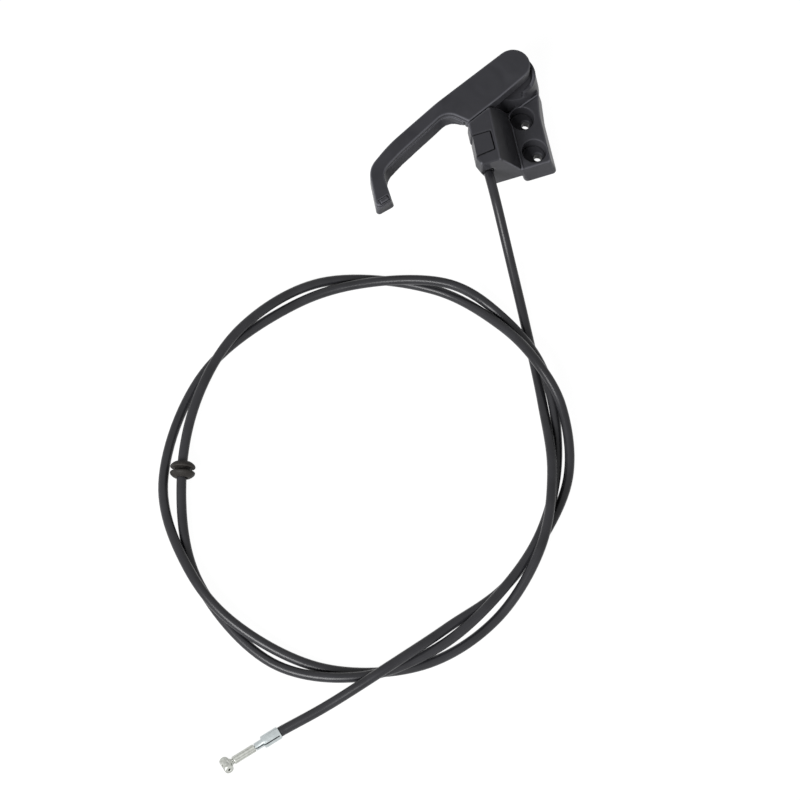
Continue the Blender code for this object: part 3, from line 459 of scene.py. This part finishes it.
def cast_zinc():
    """Die-cast zinc alloy, tumbled: dull pale grey, soft mottling, dark oxide in the hollows."""
    made, tree, shader = finish("cast_zinc", 0.42, metallic=1.0)
    where = place(tree, "ShaderNodeTexCoord").outputs["Object"]
    mottle = speckle(tree, where, CAST_MOTTLE, 4.0)
    fine = speckle(tree, where, CAST_GRAIN, 2.0)
    base = colours().cast
    darker, oxide = shade(base, 0.72), shade(base, 0.2)
    tone = mix_colour(tree, ramp(tree, mottle, 0.35, 0.7, 0.0, 1.0), base, darker)
    tone = tinted(tree, tone, "hollow", 0.05, 0.4, 0.85, oxide)
    connect(tree, shader, tone, ramp(tree, mottle, 0.3, 0.7, 0.30, 0.46))
    relief(tree, shader, fine, 0.35, 0.05 * MM)
    return made


def drawn_steel():
    """Galvanised steel drawn through dies: bright, with a fine mottling."""
    made, tree, shader = finish("drawn_steel", 0.3, metallic=1.0)
    where = place(tree, "ShaderNodeTexCoord").outputs["Object"]
    lines = speckle(tree, where, DRAWING_LINE, 3.0)
    base = colours().steel
    darker = shade(base, 0.78)
    tone = mix_colour(tree, ramp(tree, lines, 0.35, 0.7, 0.0, 1.0), base, darker)
    connect(tree, shader, tone, ramp(tree, lines, 0.3, 0.7, 0.24, 0.38))
    return made


def made_once(maker):
    """Material of a maker's own name, made the first time it is asked for."""
    return bpy.data.materials.get(maker.__name__) or maker()


# Shapes


def add_object(name, mesh, material=None):
    """Object at the origin; where the piece lies is in its mesh."""
    made = bpy.data.objects.new(name, mesh)
    bpy.context.scene.collection.objects.link(made)
    if material is not None:
        mesh.materials.clear()
        mesh.materials.append(material)
    return made


def spline(points, steps):
    """Centripetal curve through the points, as in the solids, kept above the floor."""
    knots = [0.0]
    for before, after in zip(points, points[1:]):
        knots.append(knots[-1] + math.sqrt((after - before).length))
    slopes = []
    for index in range(len(points)):
        low = max(index - 1, 0)
        high = min(index + 1, len(points) - 1)
        if index in (0, len(points) - 1):
            slopes.append((points[high] - points[low]) / (knots[high] - knots[low]))
            continue
        back = knots[index] - knots[low]
        ahead = knots[high] - knots[index]
        slope_back = (points[index] - points[low]) / back
        slope_ahead = (points[high] - points[index]) / ahead
        slopes.append((slope_back * ahead + slope_ahead * back) / (back + ahead))
    line = []
    for index in range(len(points) - 1):
        span = knots[index + 1] - knots[index]
        for step in range(steps):
            t = step / steps
            line.append(
                points[index] * (2 * t**3 - 3 * t**2 + 1)
                + slopes[index] * span * (t**3 - 2 * t**2 + t)
                + points[index + 1] * (3 * t**2 - 2 * t**3)
                + slopes[index + 1] * span * (t**3 - t**2)
            )
    line.append(points[-1])
    for point in line:
        point.z = max(point.z, SHEATH_DIAMETER / 2)
    return line


def cable_line():
    """Smooth centre line of the sheath, from the collar into the ferrule."""
    points = [CABLE_EXIT - CABLE_LINE * reach for reach in (CABLE_START, CABLE_STRAIGHT)]
    points += [Vector(point) * MM for point in CABLE_POINTS]
    points.append(FERRULE_START - FAR_AXIS * CABLE_RUN_IN)
    line = spline(points, SPLINE_STEPS)
    line.append(FERRULE_START + FAR_AXIS * SHEATH_SEAT)
    return line


def tube(name, line, radius, sides):
    """Closed tube along a line, with a UV map that runs once round and in metres along."""
    tangents = []
    for index in range(len(line)):
        before = line[max(index - 1, 0)]
        after = line[min(index + 1, len(line) - 1)]
        tangents.append((after - before).normalized())
    normal = tangents[0].orthogonal().normalized()
    mesh = bpy.data.meshes.new(name)
    work = bmesh.new()
    rings = []
    travelled = [0.0]
    for index, (point, tangent) in enumerate(zip(line, tangents)):
        if index:
            normal = (normal - tangent * normal.dot(tangent)).normalized()
            travelled.append(travelled[-1] + (point - line[index - 1]).length)
        side = tangent.cross(normal)
        ring = []
        for corner in range(sides):
            angle = 2 * math.pi * corner / sides
            spoke = normal * math.cos(angle) + side * math.sin(angle)
            ring.append(work.verts.new(point + spoke * radius))
        rings.append(ring)
    layer = work.loops.layers.uv.new("along")
    for index in range(len(rings) - 1):
        for corner in range(sides):
            following = (corner + 1) % sides
            face = work.faces.new((
                rings[index][corner], rings[index][following],
                rings[index + 1][following], rings[index + 1][corner],
            ))
            face.smooth = True
            rounds = (corner, corner + 1, corner + 1, corner)
            places = (index, index, index + 1, index + 1)
            for loop, turn, spot in zip(face.loops, rounds, places):
                loop[layer].uv = (turn / sides, travelled[spot])
    for ring, turned_round in ((rings[0], True), (rings[-1], False)):
        work.faces.new(list(reversed(ring)) if turned_round else ring)
    bmesh.ops.recalc_face_normals(work, faces=work.faces)
    work.to_mesh(mesh)
    work.free()
    return mesh


def laid(mesh, spot, axis):
    """Lay a mesh that runs up Z from the origin along another axis, from a spot."""
    turn = Vector(axis).to_track_quat("Z", "Y").to_matrix().to_4x4()
    mesh.transform(Matrix.Translation(spot) @ turn)
    return mesh


def apply_modifiers(item):
    """Replace an object's mesh by its evaluated one."""
    graph = bpy.context.evaluated_depsgraph_get()
    result = bpy.data.meshes.new_from_object(item.evaluated_get(graph))
    item.modifiers.clear()
    old = item.data
    item.data = result
    bpy.data.meshes.remove(old)


def welded_copy(node, name, material, sheet=False):
    """Copy of a CAD node with its faces joined; those of sheet are cleared of flat edges too."""
    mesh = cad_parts[node].data.copy()
    mesh.name = name
    work = bmesh.new()
    work.from_mesh(mesh)
    bmesh.ops.remove_doubles(work, verts=work.verts, dist=WELD_DISTANCE)
    if sheet:
        bmesh.ops.dissolve_limit(
            work, angle_limit=FLAT_ANGLE, verts=work.verts, edges=work.edges,
        )
    work.to_mesh(mesh)
    work.free()
    return add_object(name, mesh, material)


def softened_copy(node, name, voxel, material, shape=None):
    """Copy of a CAD node with the rounded edges of a moulding or casting, marked for wear and
    for painted highlight and painted shade.
    """
    item = welded_copy(node, name, material)
    step = item.modifiers.new("voxels", "REMESH")
    step.mode = "VOXEL"
    step.voxel_size = voxel
    step.use_smooth_shade = True
    soft = item.modifiers.new("soft", "SMOOTH")
    soft.factor = SMOOTH_FACTOR
    soft.iterations = SMOOTH_ROUNDS
    apply_modifiers(item)
    if shape is not None:
        shape(item.data)
    mark_edges(item.data)
    return item


def bevelled_copy(node, name, width, material):
    """Copy of a CAD node made of sheet, with its cut edges rounded over."""
    item = welded_copy(node, name, material, sheet=True)
    step = item.modifiers.new("edges", "BEVEL")
    step.width = width
    step.segments = BEVEL_SEGMENTS
    step.limit_method = "ANGLE"
    step.angle_limit = BEVEL_ANGLE
    apply_modifiers(item)
    item.data.shade_smooth()
    item.data.set_sharp_from_angle(angle=SHARP_ANGLE)
    return item


def bump_at(value, middle, half):
    """Smooth bump from 0 to 1, as wide as twice the half width."""
    share = min(abs(value - middle) / half, 1.0)
    return 0.5 + 0.5 * math.cos(math.pi * share)


def on_finger_side(point, normal):
    """Whether a point is on the walls that the fingers pull at, along the arm and its crank."""
    arm = normal.y < -FINGER_SIDE_FACING
    crank = normal.x > CRANK_FACING and point.y < CRANK_SIDE
    return point.x < FINGER_SIDE_END and (arm or crank)


def carve_lever(mesh):
    """Bead along the finger side, groove and notch under it, and raised pad near the tip."""
    across = Vector((-math.sin(TIP_TURN), math.cos(TIP_TURN)))
    along = Vector((math.cos(TIP_TURN), math.sin(TIP_TURN)))
    top = frame_top()
    normals = [vertex.normal.copy() for vertex in mesh.vertices]
    for vertex, normal in zip(mesh.vertices, normals):
        x, y, z = vertex.co
        flat = Vector((normal.x, normal.y, 0))
        if on_finger_side(vertex.co, normal) and flat.length > WALL_FACING:
            groove = -GROOVE_DEPTH * bump_at(z, GROOVE_HEIGHT, GROOVE_HALF)
            bead = BEAD_RISE * bump_at(z, BEAD_HEIGHT, BEAD_HALF)
            if z < GROOVE_HEIGHT + GROOVE_HALF and y > 0:
                groove -= GROOVE_DEPTH * bump_at(x, NOTCH_PLACE, NOTCH_HALF)
            vertex.co += flat.normalized() * (groove + bead)
        if normal.z > TOP_FACING and z > top - TOP_REACH:
            place_on_top = Vector((x, y)) - TIP_PAD_MIDDLE
            outside = max(
                abs(place_on_top.dot(along)) - TIP_PAD_HALF[0],
                abs(place_on_top.dot(across)) - TIP_PAD_HALF[1],
            )
            if outside < 0:
                vertex.co.z += TIP_PAD_RISE
            vertex.co.z -= TIP_GROOVE_DEPTH * bump_at(outside, TIP_GROOVE_PLACE, TIP_GROOVE_HALF)


def lip_share(point):
    """How near a point is to the pad's lip, from 0 to 1."""
    if abs(point.z - PAD_TOP) > LIP_REACH:
        return 0.0
    spot = point.xy
    nearest = min(
        (spot - spot_on_line(spot, first, last)).length
        for first, last in zip(PAD_LINE, PAD_LINE[1:])
    )
    return bump_at(nearest, 0.0, LIP_HALF)


def carve_housing(mesh):
    """Fine lip along the pad's edge under the sloped wall and across its head."""
    for vertex in mesh.vertices:
        vertex.co.z += LIP_RISE * lip_share(vertex.co)


def on_recess_rim(point):
    """Whether a point is near the rim of a screw recess."""
    away = Vector((point.x, abs(point.y) - SCREW_PLACE)).length - RECESS_RADIUS
    return point.z < PAD_TOP + RIM_HEIGHT and abs(away) < RIM_HALF


def wear_housing(mesh):
    """Paint highlights on the lip, the boss's long edge and sharp corners; less on the recess
    rims.
    """
    layer = mesh.attributes["edge"]
    for vertex, value in zip(mesh.vertices, layer.data):
        point = vertex.co
        share = LIP_HIGHLIGHT * lip_share(point)
        if point.z > BOSS_TOP - BOSS_HIGHLIGHT_DEPTH:
            spot = point.xy
            away = (spot - spot_on_line(spot, *BOSS_LINE)).length
            share = max(share, BOSS_HIGHLIGHT * bump_at(away, 0.0, HIGHLIGHT_HALF))
        for corner in GLINT_CORNERS:
            share = max(share, bump_at((point - corner).length, 0.0, HIGHLIGHT_HALF))
        if on_recess_rim(point):
            value.value *= RIM_EDGE_SHARE
        value.value = max(value.value, share)


def spot_on_line(spot, first, last):
    """Point of a stretch that is nearest to a spot."""
    run = last - first
    return first + run * max(0.0, min(1.0, (spot - first).dot(run) / run.length_squared))


def frame_top():
    """Height of the lever's and the boss's top."""
    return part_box("sheath_end_block")[1][2]


def shrink_block(mesh):
    """Draw the block's sides in, so that the joint around it shows as a dark line."""
    normals = [vertex.normal.copy() for vertex in mesh.vertices]
    for vertex, normal in zip(mesh.vertices, normals):
        flat = Vector((normal.x, normal.y, 0))
        vertex.co -= flat * BLOCK_SHRINK


def mark_edges(mesh):
    """Write how convex and how hollow each point is to the attributes that wear, painted
    highlight, painted shade and oxide read.

    Hands do not reach the joint around the sheath's end block, so nothing is worn there. The
    space under the lever's head lies in shade, so it gets neither wear nor painted highlight.
    """
    count = len(mesh.vertices)
    points = np.empty(count * 3)
    normals = np.empty(count * 3)
    pairs = np.empty(len(mesh.edges) * 2, dtype=int)
    mesh.vertices.foreach_get("co", points)
    mesh.vertex_normals.foreach_get("vector", normals)
    mesh.edges.foreach_get("vertices", pairs)
    points = points.reshape(-1, 3)
    normals = normals.reshape(-1, 3)
    first, second = pairs.reshape(-1, 2).T
    links = np.bincount(pairs, minlength=count)

    def averaged(to_first, to_second):
        total = np.bincount(first, to_first, count) + np.bincount(second, to_second, count)
        return total / links

    def neighbours(values):
        return averaged(values[second], values[first])

    middle = np.stack([neighbours(points[:, axis]) for axis in range(3)], axis=1)
    gaps = np.linalg.norm(points[first] - points[second], axis=1)
    reach = averaged(gaps, gaps)
    lift = ((points - middle) * normals).sum(axis=1) / reach
    edge = np.clip(lift * EDGE_GAIN, 0, 1)
    low, high = (np.array(corner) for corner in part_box("sheath_end_block"))
    # Nothing worn at the block's joint; under the lever's head, in shade, no wear and no painted
    # highlight.
    for bottom, top in ((low - BLOCK_MARGIN, high + BLOCK_MARGIN), UNDER_HEAD):
        inside = np.all((points > bottom) & (points < top), axis=1)
        edge[inside] = 0.0
    for _ in range(EDGE_SPREAD):
        edge = (edge + neighbours(edge)) / 2
    for name, values in (("edge", edge), ("hollow", np.clip(-lift * EDGE_GAIN, 0, 1))):
        layer = mesh.attributes.new(name, "FLOAT", "POINT")
        layer.data.foreach_set("value", values.astype(np.float32))


def wire_ends(mesh, axis):
    """Middles of a straight wire's two ends."""
    reaches = [vertex.co.dot(axis) for vertex in mesh.vertices]
    ends = []
    for limit in (min(reaches), max(reaches)):
        ring = [
            vertex.co for vertex, reach in zip(mesh.vertices, reaches)
            if abs(reach - limit) < WIRE_END_REACH
        ]
        ends.append(sum(ring, Vector()) / len(ring))
    return ends


def wire_tree():
    """Geometry Nodes tree: a core and twisted outer strands, along Z."""
    tree = bpy.data.node_groups.new("twisted_wire", "GeometryNodeTree")
    names = {}
    for name, kind in (
        ("Length", "NodeSocketFloat"), ("Diameter", "NodeSocketFloat"),
        ("Lay length", "NodeSocketFloat"), ("Strands", "NodeSocketInt"),
        ("Material", "NodeSocketMaterial"),
    ):
        socket = tree.interface.new_socket(name, in_out="INPUT", socket_type=kind)
        names[name] = socket.identifier
    tree.interface.new_socket("Geometry", in_out="OUTPUT", socket_type="NodeSocketGeometry")
    given = tree.nodes.new("NodeGroupInput").outputs
    turns = place(tree, "ShaderNodeMath", {0: given["Length"], 1: given["Lay length"]},
                  operation="DIVIDE").outputs[0]
    reach = place(tree, "ShaderNodeMath", {0: given["Diameter"], 1: STRAND_PLACE},
                  operation="MULTIPLY").outputs[0]
    thin = place(tree, "ShaderNodeMath", {0: given["Diameter"], 1: STRAND_RADIUS},
                 operation="MULTIPLY").outputs[0]
    coil = place(tree, "GeometryNodeCurveSpiral", {
        "Resolution": TWIST_STEPS, "Rotations": turns, "Height": given["Length"],
        "Start Radius": reach, "End Radius": reach,
    }).outputs[0]
    section = place(tree, "GeometryNodeCurvePrimitiveCircle", {
        "Resolution": STRAND_SIDES, "Radius": thin,
    }).outputs[0]
    strand = place(tree, "GeometryNodeCurveToMesh", {
        "Curve": coil, "Profile Curve": section, "Fill Caps": True,
    }).outputs[0]
    index = place(tree, "GeometryNodeInputIndex").outputs[0]
    share = place(tree, "ShaderNodeMath", {0: index, 1: given["Strands"]},
                  operation="DIVIDE").outputs[0]
    angle = place(tree, "ShaderNodeMath", {0: share, 1: 2 * math.pi},
                  operation="MULTIPLY").outputs[0]
    spin = place(tree, "ShaderNodeCombineXYZ", {"Z": angle}).outputs[0]
    spots = place(tree, "GeometryNodeMeshLine", {
        "Count": given["Strands"], "Offset": (0.0, 0.0, 0.0),
    }).outputs[0]
    around = place(tree, "GeometryNodeInstanceOnPoints", {
        "Points": spots, "Instance": strand, "Rotation": spin,
    }).outputs[0]
    line = place(tree, "GeometryNodeCurvePrimitiveLine", {
        "End": place(tree, "ShaderNodeCombineXYZ", {"Z": given["Length"]}).outputs[0],
    }).outputs[0]
    core = place(tree, "GeometryNodeCurveToMesh", {
        "Curve": line, "Fill Caps": True,
        "Profile Curve": place(tree, "GeometryNodeCurvePrimitiveCircle", {
            "Resolution": CORE_SIDES, "Radius": reach,
        }).outputs[0],
    }).outputs[0]
    joined = place(tree, "GeometryNodeJoinGeometry", {0: core})
    tree.links.new(around, joined.inputs[0])
    real = place(tree, "GeometryNodeRealizeInstances", {0: joined.outputs[0]}).outputs[0]
    dressed = place(tree, "GeometryNodeSetMaterial", {
        "Geometry": real, "Material": given["Material"],
    }).outputs[0]
    place(tree, "NodeGroupOutput", {0: dressed})
    return tree, names


def twisted_wire(name, length):
    """Mesh of the twisted wire, run up Z from the origin."""
    tree, names = wire_tree()
    item = add_object(name + "_maker", bpy.data.meshes.new(name))
    step = item.modifiers.new("strands", "NODES")
    step.node_group = tree
    for socket, value in (
        ("Length", length), ("Diameter", sizes().wire_diameter), ("Lay length", WIRE_LAY),
        ("Strands", sizes().strands), ("Material", made_once(drawn_steel)),
    ):
        step[names[socket]] = value
    graph = bpy.context.evaluated_depsgraph_get()
    mesh = bpy.data.meshes.new_from_object(item.evaluated_get(graph))
    bpy.data.objects.remove(item)
    mesh.name = name
    mesh.shade_smooth()
    return mesh


# Pieces


class RELEASE_OT_stage(bpy.types.Operator):
    """Set up the floor, the light and the camera."""

    bl_idname = "release.stage"
    bl_label = "Stage"

    def execute(self, context):
        settings = context.scene.handle_stage
        self.floor()
        self.room(settings)
        self.lamps(settings)
        self.camera(settings)
        return {"FINISHED"}

    def floor(self):
        """Pale floor that looks white to the camera and keeps the soft shadow."""
        mesh = bpy.data.meshes.new("floor")
        outline = ((-1, -1), (1, -1), (1, 1), (-1, 1))
        mesh.from_pydata([(x * FLOOR_HALF, y * FLOOR_HALF, 0) for x, y in outline], [],
                         [(0, 1, 2, 3)])
        made = bpy.data.materials.new("floor_white")
        made.use_nodes = True
        tree = made.node_tree
        tree.nodes.clear()
        seen = self.seen(tree)
        share = place(tree, "ShaderNodeMath", {0: seen, 1: GLOW_SHARE},
                      operation="MULTIPLY").outputs[0]
        paper = place(tree, "ShaderNodeBsdfDiffuse", {"Color": FLOOR_PAPER})
        glow = place(tree, "ShaderNodeEmission", {"Strength": GLOW_STRENGTH})
        mixed = place(tree, "ShaderNodeMixShader", {
            0: share, 1: paper.outputs[0], 2: glow.outputs[0],
        })
        place(tree, "ShaderNodeOutputMaterial", {"Surface": mixed.outputs[0]})
        item = add_object("floor", mesh, made)

    def seen(self, tree):
        """One where the ray comes from the camera or from a mirror or glass."""
        path = place(tree, "ShaderNodeLightPath")
        most = place(tree, "ShaderNodeMath", {
            0: path.outputs["Is Camera Ray"], 1: path.outputs["Is Glossy Ray"],
        }, operation="MAXIMUM").outputs[0]
        return place(tree, "ShaderNodeMath", {
            0: most, 1: path.outputs["Is Transmission Ray"],
        }, operation="MAXIMUM").outputs[0]

    def room(self, settings):
        """Even light from the room, white to the camera."""
        world = bpy.data.worlds.new("room")
        bpy.context.scene.world = world
        world.use_nodes = True
        tree = world.node_tree
        tree.nodes.clear()
        seen = self.seen(tree)
        dim = place(tree, "ShaderNodeBackground", {"Color": WHITE, "Strength": settings.sky})
        white = place(tree, "ShaderNodeBackground", {"Color": WHITE, "Strength": 1.0})
        mixed = place(tree, "ShaderNodeMixShader", {
            0: seen, 1: dim.outputs[0], 2: white.outputs[0],
        })
        place(tree, "ShaderNodeOutputWorld", {"Surface": mixed.outputs[0]})

    def lamps(self, settings):
        """A large soft lamp over the near left side and a weak one on the near right."""
        for name, spot, side, power in (
            ("key", KEY_PLACE, KEY_SIDE, settings.key),
            ("fill", FILL_PLACE, FILL_SIDE, settings.key * FILL_SHARE),
        ):
            lamp = bpy.data.lights.new(name, "AREA")
            lamp.shape = "SQUARE"
            lamp.size = side
            lamp.energy = power
            item = bpy.data.objects.new(name, lamp)
            item.location = spot
            item.rotation_euler = (LAMP_AIM - Vector(spot)).to_track_quat("-Z", "Y").to_euler()
            bpy.context.scene.collection.objects.link(item)

    def camera(self, settings):
        """Camera at the photograph's angle: 19.2 degrees off the vertical, turned by 18."""
        lens = bpy.data.cameras.new("camera")
        lens.sensor_width = SENSOR_WIDTH
        lens.lens = settings.lens
        lens.clip_start = CAMERA_NEAR
        item = bpy.data.objects.new("camera", lens)
        item.location = CAMERA_PLACE
        item.rotation_euler = (CAMERA_TILT, 0, CAMERA_TURN)
        bpy.context.scene.collection.objects.link(item)
        bpy.context.scene.camera = item


class RELEASE_OT_sheath(bpy.types.Operator):
    """Lay the cable's sheath along its route."""

    bl_idname = "release.sheath"
    bl_label = "Cable sheath"

    def execute(self, context):
        mesh = tube("sheath", cable_line(), SHEATH_DIAMETER / 2, SHEATH_SIDES)
        item = add_object("sheath", mesh, made_once(extruded_sheath))
        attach(item, "base")
        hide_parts("cable_sheath")
        return {"FINISHED"}


class RELEASE_OT_mouldings(bpy.types.Operator):
    """Round and finish the lever, the housing and the sheath's end block."""

    bl_idname = "release.mouldings"
    bl_label = "Mouldings"

    def execute(self, context):
        for node, name, body, voxel, shape in (
            ("housing", "housing_moulding", "base", MOULDING_VOXEL, carve_housing),
            ("lever", "lever_moulding", "lever", MOULDING_VOXEL, carve_lever),
            ("sheath_end_block", "end_block_moulding", "base", BLOCK_VOXEL, shrink_block),
        ):
            item = softened_copy(node, name, voxel, made_once(moulded_nylon), shape)
            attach(item, body)
            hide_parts(node)
            if node == "housing":
                # Painted highlights on the housing's lip, boss edge and corners.
                wear_housing(item.data)
        return {"FINISHED"}


class RELEASE_OT_metal(bpy.types.Operator):
    """Finish the pin, the washer, the nipple, the wires, the grommet and the far end."""

    bl_idname = "release.metal"
    bl_label = "Metal and rubber"

    def execute(self, context):
        for node, maker in (
            ("pivot_pin", drawn_steel), ("retaining_washer", drawn_steel),
            ("wire_nipple", cast_zinc),
        ):
            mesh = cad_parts[node].data
            mesh.materials.clear()
            mesh.materials.append(made_once(maker))
        for node, name, voxel, maker, slot in (
            ("end_fitting", "end_fitting_casting", CASTING_VOXEL, cast_zinc, "zinc"),
            ("grommet", "rubber_grommet", GROMMET_VOXEL, moulded_rubber, "black_rubber"),
        ):
            item = softened_copy(node, name, voxel, made_once(maker))
            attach(item, "base")
            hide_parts(node)
        cap = bevelled_copy("ferrule", "rolled_ferrule", FERRULE_BEVEL,
                            made_once(rolled_zinc_plate))
        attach(cap, "base")
        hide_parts("ferrule")
        for node, body in (("handle_wire", "inner_wire"), ("far_wire", "base")):
            self.stranded(node, body)
        return {"FINISHED"}

    def stranded(self, node, body):
        """Twisted strands in place of a plain wire, between the same ends."""
        axis = CABLE_LINE if node == "handle_wire" else FAR_AXIS
        ends = wire_ends(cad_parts[node].data, axis)
        mesh = twisted_wire(node + "_strands", (ends[1] - ends[0]).length)
        laid(mesh, ends[0], ends[1] - ends[0])
        item = add_object(node + "_strands", mesh, made_once(drawn_steel))
        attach(item, body)
        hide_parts(node)


class RELEASE_OT_declare(bpy.types.Operator):
    """Work out the cable's centre line, which is not kept."""

    bl_idname = "release.declare"
    bl_label = "Declare the cable"

    def execute(self, context):
        line = cable_line()
        return {"FINISHED"}


class RELEASE_PT_panel(bpy.types.Panel):
    """Sidebar panel with the steps in order."""

    bl_label = "Release handle"
    bl_idname = "RELEASE_PT_panel"
    bl_space_type = "VIEW_3D"
    bl_region_type = "UI"
    bl_category = "Release handle"

    def draw(self, context):
        for step in STEPS:
            self.layout.operator(step.bl_idname)


GROUPS = {
    "handle_sizes": HandleSizes, "handle_colours": HandleColours, "handle_stage": StageSettings,
}
STEPS = (
    RELEASE_OT_stage, RELEASE_OT_sheath, RELEASE_OT_mouldings, RELEASE_OT_metal,
    RELEASE_OT_declare,
)


def register():
    """Make the settings, the steps and the panel known to Blender."""
    for name, group in GROUPS.items():
        bpy.utils.register_class(group)
        setattr(bpy.types.Scene, name, bpy.props.PointerProperty(type=group))
    for step in STEPS:
        bpy.utils.register_class(step)
    bpy.utils.register_class(RELEASE_PT_panel)


def unregister():
    """Take them out again."""
    bpy.utils.unregister_class(RELEASE_PT_panel)
    for step in reversed(STEPS):
        bpy.utils.unregister_class(step)
    for name, group in GROUPS.items():
        delattr(bpy.types.Scene, name)
        bpy.utils.unregister_class(group)


def main():
    """Dress the frame."""
    register()
    bpy.context.scene.view_settings.view_transform = "Standard"
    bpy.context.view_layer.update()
    bpy.ops.release.stage()
    bpy.ops.release.sheath()
    bpy.ops.release.mouldings()
    bpy.ops.release.metal()
    bpy.ops.release.declare()


if __name__ == "__main__":
    main()
